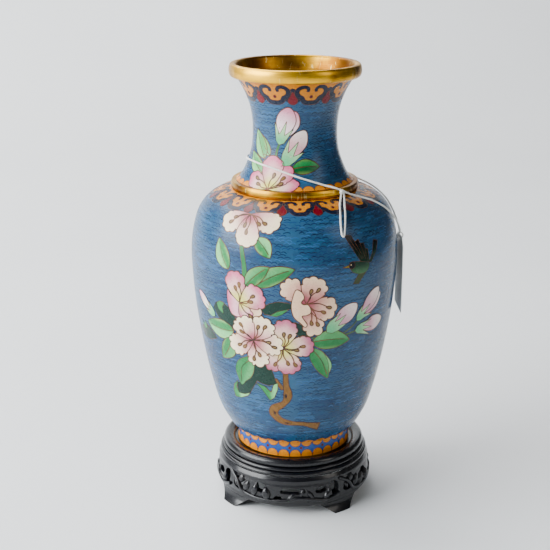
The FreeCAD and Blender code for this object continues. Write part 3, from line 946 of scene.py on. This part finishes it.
def front_buds(g):
    tips = (srgb(244, 224, 216), srgb(206, 150, 168))
    g.bud((18, 88), (39, 23.5, 10.5), [(53, 13.5), (39, 15), (18, 13)], (5.5, 4), 3, *tips)
    g.bud((36.5, 92), (46, 23.5, 9), [(67, 9.5), (41, 13), (11, 12)], (4.2, 3), 3, *tips, double=True)
    g.bud((36, 86), (6, 23, 9.5), [(20, 13.5), (-2, 13.5), (-23, 13.5)], (5.5, 0.5), 3, *tips)
    g.bud((-49.5, 91), (145, 20, 6), [(165, 9), (146, 10), (124, 9.5)], (-4, 3), 3,
          srgb(226, 150, 180), srgb(238, 232, 214))
    g.stalk((18, 88), [(-8, -6), (-3, -3.5), (0.5, 0.5)])
    g.stalk((36, 86), [(-26, -1), (-14, -1.5), (-5, -1), (0.5, 0)], 0.4)
    g.stalk((36.5, 92), [(-14, -10), (-8, -6), (-3, -3), (0.5, 0.5)], 0.35)
    g.stalk((-27, 121), [(0.5, -8), (0, 4), (-2.2, 14), (-2.6, 21)], 1.3)


def bird(g):
    """A small bird flying to the left, green and black with a yellow bill."""
    place = (36, 124)
    far_wing = [(7.3, 1.4), (10.6, 5.8), (12.3, 13), (16, 11.8), (13.9, 6.2), (9.3, 1)]
    wing = [(1.4, 2.8), (-2.7, 8.9), (-7.9, 18.4), (-3.7, 18.1), (-1.6, 14.1), (0.8, 15.4),
            (2, 12.5), (4.3, 12.8), (5.2, 9.3), (7, 8.9), (7.8, 1.3)]
    tail = [(0, -3.8), (-3.6, -9.1), (0.2, -9.8), (1.9, -7.3), (5.4, -3.8)]
    body = [(-6.2, 0.8), (-6.2, 2.4), (-4.6, 3.4), (-2.4, 3.2), (2, 2.9), (7.3, 1.4), (7.6, -1),
            (5.5, -3.6), (1, -4.2), (-3, -3), (-5.4, -1)]
    head = [(-6.5, 0.7), (-6.3, 2.5), (-4.8, 3.5), (-3, 3), (-2.6, 1), (-4.2, -0.4), (-5.8, -0.2)]

    plumage = fade(mix(BIRD_GREEN, PALE_GREEN, 0.22), BIRD_GREEN, 1, -4, 1.5)
    pinion = fade(mix(BIRD_GREEN, BIRD_BLACK, 0.25), BIRD_BLACK, 1, 4, 13)

    def line(outline, level, tint, half=BORDER_WIRE):
        g.lined("bird", place, outline, level, tint, half)

    line(far_wing, 0, pinion)
    line(tail, 0, mix(BEAK_YELLOW, BIRD_GREEN, 0.85))
    line(catmull(body, True, 3), 1, plumage)
    line(wing, 2, pinion)
    line([(-10.7, 0.9), (-6.2, 1.9), (-6, 0.4)], 2, BEAK_YELLOW)
    line(catmull(head, True, 3), 3, BIRD_BLACK)
    for start, end in [((2.4, 4), (-5.4, 17)), ((3.6, 4), (-1.4, 13.6)), ((5, 3.6), (2.2, 12)),
                       ((6.4, 3), (5, 9))]:
        g.wire("wires", place, [start, end], 2, HAIR_WIRE)
    line(round_outline(8, 0.45, (-5.2, 1.9)), 4, CREAM, 0.1)


def neck_spray(g):
    """The flower and two buds on the neck."""
    blades = [(-40, 170.5, 140, 16.5, 8.5), (-33.5, 180, 125, 14.5, 7), (-41, 178, 115, 17.5, 9)]
    for k, spec in enumerate(blades):
        g.leaf(spec, k, PALE_GREEN, mix(PALE_GREEN, LEAF_GREEN, 0.6))
    g.leaf((-4, 173.5, 3, 16.5, 8.5), 0, LEAF_GREEN, DEEP_GREEN)
    g.flower((-26.8, 163), [(157, 16.5, 10), (13, 17.5, 8), (51, 17.5, 10), (91, 19.5, 12.5)],
             [(79, 8.5), (44, 10), (29, 7.5), (148, 10.5), (163, 7.5)], PINK_FLOWER, 3, 3, 0.8)
    g.stalk((-21.3, 186.4), [(-1.6, -9), (-1.2, -4), (0.2, 0.5)], 0.6)
    g.bud((-21.3, 186.4), (73, 22.5, 11), [(100, 13), (71, 14.5), (48, 12.5)], (0.8, 5.6), 4,
          srgb(214, 130, 158), srgb(240, 214, 220), double=True)
    g.bud((-14, 175), (60, 23, 10), [(79, 16), (60, 16), (35, 14)], (2.4, 6.6), 4,
          srgb(246, 226, 218), srgb(208, 150, 160))


def back_spray(g):
    """The builder's guess at the side that is not seen: one smaller spray and two buds."""
    leaves = [(168, 74, 200, 20, 10), (176, 70, -60, 20, 10), (188, 86, 12, 21, 10),
              (172, 96, 118, 19, 9), (186, 98, 48, 18, 9)]
    for spec in leaves:
        g.leaf(spec, 1, mix(PALE_GREEN, LEAF_GREEN, 0.4), mix(LEAF_GREEN, DEEP_GREEN, 0.3))
    star = [(-70, 17, 12.5), (2, 17, 13), (74, 17, 12.5), (146, 17, 13), (-142, 17, 12.5)]
    ring = [(direction + 36 * side, 10 + 2 * side) for direction, _, _ in star for side in (-0.4, 0.4)]
    g.flower((179, 84), star, ring, WHITE_FLOWER, 3, 5, 0.9)
    twig = [(0, 6), (1.2, -3), (0.2, -11), (3.6, -18), (9, -21), (17, -22)]
    g.lined("branch", (178, 66), stroke(twig, [1.4, 1.8, 2.1]), 1, BARK)
    for angle, height, direction in [(201, 100, 44), (159, 104, 128)]:
        spread = [(direction + 17, 11), (direction, 12), (direction - 17, 11)]
        crown = turned_to([(5.4, 0)], direction)[0]
        g.bud((angle, height), (direction, 20, 9), spread, crown, 2, PINK, BLUSH)


# ---------------------------------------------------------------- borders

def mirrored(half):
    """An outline from its left half, which starts or ends on the middle line."""
    return half + [(-x, y) for x, y in reversed(half) if x]


def ruyi_border(skin, count, first, unit, cells, wires):
    """Heads with curled shoulders, their dots, and a red drop between each pair."""
    pitch = 360 / count
    hook = [(-2.4, 8.3), (-2.2, 10.2), (-3.9, 11.7), (-6.5, 11.3), (-8.1, 9.4), (-8.0, 6.9),
            (-6.6, 5.0), (-5.0, 4.2), (-4.0, 2.2), (-2.2, 1.2)]
    path = mirrored(hook + [(0, 1.1)])
    widths = [0.8, 1.25, 1.35, 1.3, 1.35, 1.3, 1.35, 1.25, 0.8]
    head = mirrored([(-3.2, 13.6), (-5.4, 11.5), (-7.2, 9.2), (-6.9, 6.8), (-4.6, 5.2), (-3.4, 2.8),
                     (0, 1.8)])
    drop = [(0, 8.4), (-1.3, 5.6), (-2.6, 3.4), (-2.5, 1.3), (-1.1, 0), (0, -0.2), (1.1, 0),
            (2.5, 1.3), (2.6, 3.4), (1.3, 5.6)]
    web = [(0, 11), (-2.6, 9.6), (-3.8, 5.2), (-4.4, 2.6), (-3, 1.6), (3, 1.6), (4.4, 2.6), (3.8, 5.2),
           (2.6, 9.6)]

    def sized(points):
        return [(x * unit[0], y * unit[1]) for x, y in points]

    for k in range(count):
        anchor = (first + k * pitch, skin.length - 14 * unit[1])
        between = (first + (k + 0.5) * pitch, anchor[1])
        cell(cells, skin, anchor, catmull(sized(head), True, 4), 0, OCHRE)
        cell(cells, skin, between, sized(web), 1, NAVY)
        lined(cells, wires, skin, anchor, stroke(sized(path), widths), 1, NAVY, BORDER_WIRE)
        lined(cells, wires, skin, between, catmull(sized(drop), True, 3), 2, DARK_RED, SCALLOP_WIRE)
        dot = sized(round_outline(10, 0.95, (0, 4.9), 1.05 / 0.95))
        lined(cells, wires, skin, anchor, dot, 2, mix(DARK_RED, KNOT_BROWN, 0.4), BORDER_WIRE)


def scallop_row(skin, base, tall, cells, wires):
    """A row of half-round cells standing on, or hanging from, a line round the vase."""
    radius = float(np.interp(base, skin.s, skin.r))
    half = 0.98 * math.pi * radius / SCALLOPS
    curve = [(half * math.cos(a), tall * math.sin(a) ** 0.8) for a in np.linspace(0, math.pi, 17)]
    for k in range(SCALLOPS):
        anchor = (FIRST_SCALLOP + 360 * k / SCALLOPS, base)
        lined(cells, wires, skin, anchor, curve, 1, ORANGE, SCALLOP_WIRE)


def lathe(builder, section, around, tint=(1, 1, 1)):
    """A closed section turned about the axis."""
    points = []
    for i in range(around):
        a = 2 * math.pi * i / around
        points += [(r * math.sin(a), -r * math.cos(a), z) for r, z in section]
    builder.add(points, swept_faces(around, len(section), True), [tint] * len(points))


def band_section(skin, spots, top, bottom):
    """Section of a layer on a skin, between two heights above it."""
    rows = [skin.place((0, s), [(0, 0)], top)[0] for s in spots]
    rows += [skin.place((0, s), [(0, 0)], bottom)[0] for s in reversed(spots)]
    return [(math.hypot(x, y), z) for x, y, z in rows]


def ring_strip(builder, skin, low_s, tint):
    """A closed band of enamel all the way round, up to the skin's top edge."""
    spots = np.linspace(low_s, skin.length - 0.05, 5)
    lathe(builder, band_section(skin, spots, rise(0), -SINK), 192, tint)


def smooth_shell(name, skin, low_s, high_s, depth, material, replaced, slot):
    """The ground enamel as a smooth turned shell in place of a faceted CAD node."""
    builder = Builder()
    rows = max(int((high_s - low_s) / 1.4), 3)
    spots = np.linspace(low_s, high_s, rows + 1)
    lathe(builder, band_section(skin, spots, 0, -depth), 256)
    builder.piece(name, material, "vase", slot, [replaced], 50)


def ripples(skin, low_s, high_s, spacing, prefix, share):
    """Short waved wires in staggered rows that break up the blue ground."""
    section = [(-0.19, -0.05), (-0.17, 0.03), (0.17, 0.03), (0.19, -0.05)]
    builders = [Builder() for _ in range(share)]
    s = low_s + 0.6 * spacing
    while s < high_s:
        radius = float(np.interp(s, skin.s, skin.r))
        around = 2 * math.pi * radius
        x = random.uniform(0, 4)
        while x < around - 5:
            humps = random.choice((1, 2, 2, 3))
            length = humps * random.uniform(2.8, 4.0)
            tall = random.uniform(0.55, 0.95)
            drift = random.uniform(-0.35, 0.35)
            path = np.array([(t * length, tall * abs(math.sin(math.pi * humps * t)) ** 0.8 + drift * t)
                             for t in np.linspace(0, 1, 5 * humps + 1)])
            start = (math.degrees(x / radius), s + random.uniform(-0.25, 0.25) * spacing)
            side = min(int(share * x / around), share - 1)
            tint = random.choice(RIPPLE_TINTS)
            rail(builders[side], skin, start, path, section, tint=tint)
            x += length + random.uniform(0.3, 1.6)
        s += spacing
    for k, builder in enumerate(builders):
        builder.piece(f"{prefix}_{k + 1}", RIPPLE_WIRE, "vase", "gilt")


# ---------------------------------------------------------------- carved stand panels

PANELS = {"front": -7.5, "right": 82.5, "back": 172.5, "left": 262.5}
APRON = Skin(["apron_" + side for side in PANELS])
PANEL_HALF = 44.94     # half the angle of a panel, in degrees
PANEL_WALL = 4.8
FIELD_DEPTH = 0.95     # how far the carved field lies below its border
FIELD_TOP = 21.8       # heights above the floor between which the field is sunk
FIELD_BOTTOM = 7.2
LEAF_ROOT = 2.8        # how far a carved leaf reaches into the wood
PANEL_HOLES = [
    [(-35, 13), (-33.5, 18.5), (-29, 20.5), (-25, 19), (-23.5, 15.5), (-26, 12.2), (-31, 10.8)],
    [(-19, 17), (-15.5, 20), (-11.5, 19.5), (-10.5, 16.5), (-13, 14), (-17, 14.2)],
    [(-1.5, 15.2), (-0.5, 18), (6, 18.4), (13, 17.9), (13.8, 15.8), (9, 14.4), (3, 14.6)],
    [(20, 15), (20.8, 18), (25.5, 18.6), (27.5, 16.4), (24.5, 14.2)],
    [(28.8, 12.6), (29.6, 19.3), (33, 20.4), (35.3, 17.5), (34.6, 12.4), (31.5, 11)],
    [(-6.5, 10), (-3.5, 13.4), (-0.5, 12.6), (-1.2, 9.8), (-4, 8.8)]]
PANEL_TWIG = [(-37, 21.5), (-31, 17), (-27, 11.5), (-18, 9.4), (-8, 9), (3, 10.2), (10, 12),
              (18, 10.6), (27, 9), (36, 12)]
# Carved leaves: place, direction, length, width and how far they stand up.
PANEL_LEAVES = [(-30, 16, 60, 7.5, 4.5, 1.5), (-26, 11.5, 65, 9, 5, 1.7), (-19.5, 9.6, 75, 10, 5, 1.8),
                (-10, 9.2, 95, 9, 6.5, 2.2), (2, 10.2, 40, 8, 3.4, 1.4), (10, 12, 65, 7, 3, 1.4),
                (19, 10.6, 125, 8, 3.6, 1.6), (25, 9.3, 50, 8, 4, 1.6), (-34, 17.5, -60, 6, 3, 1.3),
                (30, 10, 100, 7, 3.4, 1.4), (-15, 12, 20, 7, 3.4, 1.3), (14, 9.5, -10, 7, 3, 1.2)]


def up_panel(z):
    """Distance along the panels' profile at a height above the floor."""
    return APRON.at_height(z - FOOT_Z)


def on_panel(points):
    return [(x, up_panel(z)) for x, z in points]


def panel_sheet():
    """Flat triangles of one pierced panel, shared by all four."""
    rows = np.linspace(0, APRON.length, 10)
    edge = [(math.radians(PANEL_HALF) * float(np.interp(s, APRON.s, APRON.r)), s) for s in rows]
    outline = edge + [(-x, s) for x, s in reversed(edge)]
    loops = [resample(outline, 0.9, True)]
    loops += [resample(catmull(on_panel(hole), True, 5), 0.7, True) for hole in PANEL_HOLES]
    return triangulate(loops, 0.95)


def field_depth(x, s):
    """Depth of the carved field at a place on the panel."""
    below_top = smooth(up_panel(FIELD_TOP), up_panel(FIELD_TOP - 0.9), s)
    above_bottom = smooth(up_panel(FIELD_BOTTOM), up_panel(FIELD_BOTTOM + 1), s)
    return FIELD_DEPTH * below_top * above_bottom * smooth(40, 38, abs(x))


BLADE_TAPER = 0.36     # brings a carved blade's taper, which is 0.33 at most, close to 1


def blade_half(t, width):
    """Half width of a carved leaf at a share of its length."""
    return 0.5 * width * t ** 0.75 * (1 - t) ** 0.85 / BLADE_TAPER


def carved_leaf(builder, anchor, spec):
    """A domed leaf with a grooved midrib, rising out of the field."""
    x, z, direction, length, width, tall = spec
    side = [(t * length, blade_half(t, width)) for t in np.linspace(0, 1, 13)[1:-1]]
    outline = [(0, 0)] + side + [(length, 0)] + [(u, -v) for u, v in reversed(side)]
    flat, faces = triangulate([resample(turned_to(outline, direction), 0.6, True)], 0.8)
    lifts = []
    for u, v in flat:
        along, aside = along_across(direction, u, v)
        t = min(max(along / length, 0.02), 0.98)
        dome = math.sqrt(max(1 - (aside / blade_half(t, width)) ** 2, 0)) * math.sin(math.pi * t) ** 0.5
        groove = 0.45 * math.exp(-(aside / 0.45) ** 2)
        lifts.append(-FIELD_DEPTH - 0.2 + tall * dome - groove * dome)
    spots = np.array(flat) + (x, up_panel(z))
    top = APRON.place(anchor, spots, np.array(lifts))
    low = APRON.place(anchor, spots, -LEAF_ROOT)
    builder.add([*top, *low], slab_faces(faces, len(flat)), [])


def carved_panels():
    """The pierced and carved belt of the stand, one panel between each pair of feet."""
    flat, faces = panel_sheet()
    depth = np.array([field_depth(x, s) for x, s in flat])
    for side, turn in PANELS.items():
        anchor = (turn, 0)
        builder = Builder()
        top = APRON.place(anchor, flat, -depth)
        low = APRON.place(anchor, flat, -PANEL_WALL)
        builder.add([*top, *low], slab_faces(faces, len(flat)), [])
        twig = resample(catmull(on_panel(PANEL_TWIG), False, 8), 0.9, False)
        tube(builder, APRON.place(anchor, twig, -0.7), 1.15, 10)
        for spec in PANEL_LEAVES:
            carved_leaf(builder, anchor, spec)
        builder.piece("carved_apron_" + side, LACQUER, "stand", "lacquered_wood",
                      ["apron_" + side], 55)


# ---------------------------------------------------------------- string and tag

# Centre line of the cord as in the CAD frame: angle, distance from the axis, height above the foot.
STRING = [(93.0, 62.4, 129.6), (89.5, 61.6, 132.8), (85, 60.8, 135.6), (79.5, 58.8, 141.6),
          (74, 56.0, 147.3), (69, 52.5, 151.6), (63, 48.1, 155.2), (57, 44.0, 157.4),
          (50, 40.7, 159.4), (44, 38.3, 161.7), (37.5, 36.2, 163.6), (31, 33.5, 164.8),
          (16, 31.0, 167.6), (-1.5, 29.5, 170.5), (-27, 28.3, 174.0), (-46, 27.7, 175.2),
          (-82, 27.5, 175.3), (-120, 28.3, 173.4), (-160, 29.8, 170.0), (-190, 31.9, 166.8),
          (-205, 34.0, 164.8), (-213, 36.3, 163.7), (-222, 38.4, 161.7), (-235, 43.0, 158.2),
          (-247, 48.1, 155.2), (-253, 52.5, 151.6), (-257.5, 56.0, 147.3), (-261, 58.8, 141.6),
          (-263.5, 60.9, 135.6), (-264.8, 62.4, 129.6)]
STRING_LOOP = [(41.6, 39.0, 160.2), (37.5, 41.9, 158.5), (33.0, 45.8, 156.6), (29.0, 51.5, 152.9),
               (26.9, 55.4, 148.4), (26.3, 57.9, 143.5), (27.1, 58.5, 142.0), (27.9, 57.9, 143.5),
               (29.8, 55.4, 148.4), (32.2, 51.9, 152.7), (36.4, 46.3, 156.5), (40.6, 42.3, 158.5),
               (44.6, 39.1, 160.2)]


CORD_RADIUS = 0.58


def cord_line(stations):
    """Points in the frame from a cord's stations."""
    return [(r * math.sin(math.radians(a)), -r * math.cos(math.radians(a)), h + FOOT_Z)
            for a, r, h in stations]


def square_to(ahead, up):
    """Two directions square to each heading and to each other."""
    side = unit(np.cross(ahead, up))
    return side, np.cross(ahead, side)


def tube(builder, line, radius, sides=6, closed=False):
    """A round tube along a 3-D line."""
    line = np.array(line, float)
    ahead = np.roll(line, -1, axis=0) - np.roll(line, 1, axis=0)
    if not closed:
        ahead[0] = line[1] - line[0]
        ahead[-1] = line[-1] - line[-2]
    side, other = square_to(unit(ahead), (0.31, 0.17, 0.93))
    rings = [line + x * side + y * other for x, y in round_outline(sides, radius)]
    points = np.stack(rings, axis=1).reshape(-1, 3)
    builder.add(list(points), swept_faces(len(line), sides, closed), [])


def twisted_cord(name, stations, replaced):
    """Three plies laid round a centre line."""
    step = 0.42
    lay = 3.2              # length in which a ply goes once round
    line = resample(catmull(cord_line(stations), False, 12), step, False)
    side, other = square_to(heading(line, False), (0.12, 0.21, 0.97))
    turns = step * np.arange(len(line)) / lay * 2 * math.pi
    builder = Builder()
    for ply in range(3):
        a = turns + ply * 2 * math.pi / 3
        offset = np.cos(a)[:, None] * side + np.sin(a)[:, None] * other
        tube(builder, line + 0.48 * CORD_RADIUS * offset, 0.52 * CORD_RADIUS)
    builder.piece(name, COTTON, "vase", "string", [replaced])


def string():
    """The cord round the neck, the loop that hangs from it, and the knot that joins them."""
    twisted_cord("tag_string_plies", STRING, "tag_string")
    twisted_cord("tag_string_loop_plies", STRING_LOOP, "tag_string_loop")
    low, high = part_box("tag_string_knot")
    middle = (low + high) / 2 / MM
    trefoil = []
    for a in np.linspace(0, 2 * math.pi, 49)[:-1]:
        wide = 0.5 * (1.35 + 0.65 * math.cos(3 * a))
        trefoil.append((middle.x + wide * math.cos(2 * a), middle.y + wide * math.sin(2 * a),
                        middle.z + 0.6 * math.sin(3 * a)))
    knot = Builder()
    tube(knot, trefoil, 0.5, 8, True)
    knot.piece("tag_string_knot_turns", COTTON, "vase", "string", ["tag_string_knot"])


def tag_card():
    """The blank card, slightly bowed, with its top corners cut off."""
    low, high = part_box("tag_card")
    node = NODES["tag_card"].data
    centre = (low + high) / 2 / MM
    out = Vector((centre.x, centre.y, 0)).normalized()
    along = Vector((-out.y, out.x, 0))
    tall = (high.z - low.z) / MM
    half = max(abs(Vector((v.co.x, v.co.y, 0)).dot(along)) for v in node.vertices) / MM
    top = high.z / MM
    clip = 4.5
    hole_drop = 2.4
    outline = [(-half, -tall), (half, -tall), (half, -clip), (half - clip, 0), (clip - half, 0),
               (-half, -clip)]
    hole = np.array(round_outline(18, 1.2, (0, -hole_drop)))
    flat, faces = triangulate([resample(outline, 1.0, True), hole], 2.4)
    depth = centre.dot(out)
    rows = []
    for side in (0.2, -0.2):
        for x, y in flat:
            bow = 0.35 * math.sin(math.pi * -y / tall) * (1 - 0.3 * (x / half) ** 2)
            place = out * (depth + bow * 0.5 + side) + along * x
            rows.append((place.x, place.y, top + y))
    builder = Builder()
    builder.add(rows, slab_faces(faces, len(flat)), [])
    builder.piece("tag_card_sheet", CARD, "tag", "card", ["tag_card"], 30)


# ---------------------------------------------------------------- stage, light and camera

def stage():
    """A pale floor that curves up behind the vase."""
    g = Graph("pale_backdrop")
    tone = g.noise(3, 2)
    grain = g.noise(90, 2)
    g.set(Base_Color=g.blend(g.remap(tone, 0.3, 0.7), srgb(222, 224, 226), srgb(228, 230, 231)),
          Roughness=g.remap(grain, 0.3, 0.7, 0.55, 0.7))
    front, back, bend, top = -2.2, 0.9, 0.7, 3.2
    left, right = -3.5, 0.8
    profile = [(front, 0.0), (back, 0.0)]
    profile += [(back + bend * math.sin(a), bend - bend * math.cos(a))
                for a in np.linspace(0.1, math.pi / 2, 14)]
    profile.append((back + bend, top))
    points = [(x, y, z) for y, z in profile for x in (left, right)]
    faces = [(2 * i, 2 * i + 1, 2 * i + 3, 2 * i + 2) for i in range(len(profile) - 1)]
    mesh = bpy.data.meshes.new("backdrop")
    mesh.from_pydata(points, [], faces)
    mesh.polygons.foreach_set("use_smooth", [True] * len(faces))
    mesh.materials.append(g.material)
    floor = bpy.data.objects.new("backdrop", mesh)
    bpy.context.scene.collection.objects.link(floor)


def area_light(name, place, size, power, colour):
    middle = Vector((0, 0, 0.14))
    light = bpy.data.lights.new(name, "AREA")
    light.shape = "RECTANGLE"
    light.size, light.size_y = size
    light.energy = power
    light.color = colour
    lamp = bpy.data.objects.new(name, light)
    lamp.location = place
    lamp.rotation_euler = (middle - Vector(place)).to_track_quat("-Z", "Y").to_euler()
    bpy.context.scene.collection.objects.link(lamp)


def lights():
    """Each soft light is given by its place, size, power and colour."""
    area_light("window", (-1.5, -0.6, 0.85), (1.4, 1.3), 82, (0.95, 0.98, 1.0))
    area_light("ceiling", (-0.9, 0.8, 1.9), (2.0, 1.6), 74, (1.0, 1.0, 1.0))
    area_light("right_fill", (1.1, -0.7, 0.8), (0.5, 0.9), 3.5, (1.0, 0.96, 0.9))


def room():
    """The world's light, which is stronger from the left."""
    world = bpy.data.worlds.new("room")
    world.use_nodes = True
    tree = world.node_tree
    back = tree.nodes["Background"]
    coords = tree.nodes.new("ShaderNodeTexCoord")
    split = tree.nodes.new("ShaderNodeSeparateXYZ")
    side = tree.nodes.new("ShaderNodeMapRange")
    side.interpolation_type = "SMOOTHSTEP"
    for slot, number in zip(RANGE_SLOTS, (-0.95, 0.2, 0.8, 0.1)):
        side.inputs[slot].default_value = number
    tree.links.new(coords.outputs["Generated"], split.inputs[0])
    tree.links.new(split.outputs["X"], side.inputs["Value"])
    tree.links.new(side.outputs["Result"], back.inputs["Strength"])
    back.inputs["Color"].default_value = (0.86, 0.9, 0.94, 1.0)
    # seen directly, past the edge of the floor, the room is as pale as the floor
    pale = tree.nodes.new("ShaderNodeBackground")
    pale.inputs["Color"].default_value = (*srgb(222, 224, 226), 1.0)
    path = tree.nodes.new("ShaderNodeLightPath")
    choice = tree.nodes.new("ShaderNodeMixShader")
    tree.links.new(path.outputs["Is Camera Ray"], choice.inputs[0])
    tree.links.new(back.outputs[0], choice.inputs[1])
    tree.links.new(pale.outputs[0], choice.inputs[2])
    tree.links.new(choice.outputs[0], tree.nodes["World Output"].inputs["Surface"])
    bpy.context.scene.world = world


def camera():
    """The view from a little above the mouth, through a long lens."""
    data = bpy.data.cameras.new("camera")
    data.sensor_width = 36.0
    data.lens = 77.05
    data.clip_start = 0.01
    eye = bpy.data.objects.new("camera", data)
    eye.location = (0.0, -0.6666, 0.3458)
    eye.rotation_euler = (math.radians(72.46), 0.0, math.radians(0.98))
    bpy.context.scene.collection.objects.link(eye)
    bpy.context.scene.camera = eye


# ---------------------------------------------------------------- the whole object

def cad_materials():
    """Materials for the CAD nodes that stay."""
    lacquered = ["stand_lip", "stand_seat_board", "stand_waist_moulding", "foot_front_right",
                 "foot_back_right", "foot_back_left", "foot_front_left"]
    chosen = {name: LACQUER for name in lacquered}
    chosen.update(dict.fromkeys(["foot_edge_ring", "foot_joint_wire", "collar_ring"], GILT))
    chosen.update(dict.fromkeys(["foot_core", "body_core"], COPPER))
    chosen.update(dict.fromkeys(["base_enamel", "inner_enamel"], LINING))
    chosen["neck_core"] = GILT_INSIDE
    chosen["tag_eye"] = COTTON
    for name, material in chosen.items():
        mesh = NODES[name].data
        mesh.materials.clear()
        mesh.materials.append(material)


def gilt_rim():
    """The lip at the mouth, with its edges rolled over."""
    low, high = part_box("rim_ring")
    outer = high.x / MM
    foot = low.z / MM
    top = high.z / MM
    half = (top - foot) / 2
    roll = 2.4             # how far the rounded side stands out
    bore = 33.5            # radius of the mouth
    flare = 1.6            # how much the bore opens towards the mouth
    section = [(outer - roll + roll * math.sin(a) ** 0.6, foot + half - half * math.cos(a))
               for a in np.linspace(0, math.pi, 19)]
    section += [(bore + 1.2, top - 0.05), (bore + 0.35, top - 0.5), (bore, top - 1.5),
                (bore - flare, foot)]
    builder = Builder()
    lathe(builder, section, 256)
    builder.piece("rolled_rim", GILT, "vase", "gilt", ["rim_ring"], 50)


def grounds():
    """The smooth enamel grounds that stand for the CAD enamels, band by band."""
    shoulder = BODY.at_height(SHOULDER_EDGE)
    scallop_edge = NECK.at_height(NECK_SCALLOP_EDGE)
    ruyi_edge = NECK.at_height(NECK_RUYI_EDGE)
    smooth_shell("body_ground", BODY, 0, shoulder, 0.6, BLUE_GROUND, "body_enamel", "blue_enamel")
    smooth_shell("shoulder_ground", BODY, shoulder, BODY.length, 0.6, BLUE_GROUND,
                 "shoulder_ruyi_border", "border_enamel")
    smooth_shell("neck_scallop_ground", NECK, 0, scallop_edge, 0.6, BLUE_GROUND,
                 "neck_scallop_border", "border_enamel")
    smooth_shell("neck_ground", NECK, scallop_edge, ruyi_edge, 0.6, BLUE_GROUND, "neck_enamel",
                 "blue_enamel")
    smooth_shell("neck_ruyi_ground", NECK, ruyi_edge, NECK.length, 0.6, BLUE_GROUND,
                 "neck_ruyi_border", "border_enamel")
    smooth_shell("foot_ground", FOOT, 0, FOOT.length, 0.5, FOOT_GROUND, "foot_enamel",
                 "border_enamel")


def borders():
    """The rows of heads under the mouth and on the shoulder, and the scalloped rows."""
    for name, skin, count, first, depth, unit_size in (
            ("neck_ruyi", NECK, 9, -22.5, 5.4, (1.0, 0.98)),
            ("shoulder_ruyi", BODY, 15, 3.6, 5.2, (0.98, 1.0))):
        cells = Builder()
        wires = Builder()
        ring_strip(cells, skin, skin.length - depth, OCHRE)
        ruyi_border(skin, count, first, unit_size, cells, wires)
        cells.piece(name + "_cells", INLAY, "vase", "border_enamel")
        wires.piece(name + "_wires", WIRE, "vase", "gilt")
    cells = Builder()
    wires = Builder()
    edge = 0.1
    for skin, base, tall in ((NECK, edge, 3.4), (BODY, edge, 4.6), (FOOT, edge, 4.4),
                             (FOOT, FOOT.length - edge, -3.7)):
        scallop_row(skin, base, tall, cells, wires)
    dot = round_outline(8, 0.8)
    for k in range(0, SCALLOPS, 2):
        anchor = (FIRST_SCALLOP + 360 * (k + 0.5) / SCALLOPS, FOOT.length * 0.55)
        lined(cells, wires, FOOT, anchor, dot, 1, DARK_RED, BORDER_WIRE)
    cells.piece("scallop_cells", INLAY, "vase", "border_enamel")
    wires.piece("scallop_wires", WIRE, "vase", "gilt")


def motifs():
    """The sprays and the bird, and the ripples between them."""
    front = Spray("front", BODY)
    for paint in (front_leaves, front_branch, front_flowers, front_buds, bird):
        paint(front)
    front.finish()
    neck = Spray("neck", NECK)
    neck_spray(neck)
    neck.finish()
    back = Spray("back", BODY)
    back_spray(back)
    back.finish()
    ripples(BODY, 3.0, BODY.at_height(152), 1.5, "body_ripples", 4)
    ripples(NECK, 3.8, NECK.length - 13, 1.35, "neck_ripples", 1)


cad_materials()
grounds()
borders()
motifs()
carved_panels()
gilt_rim()
string()
tag_card()
stage()
lights()
room()
camera()
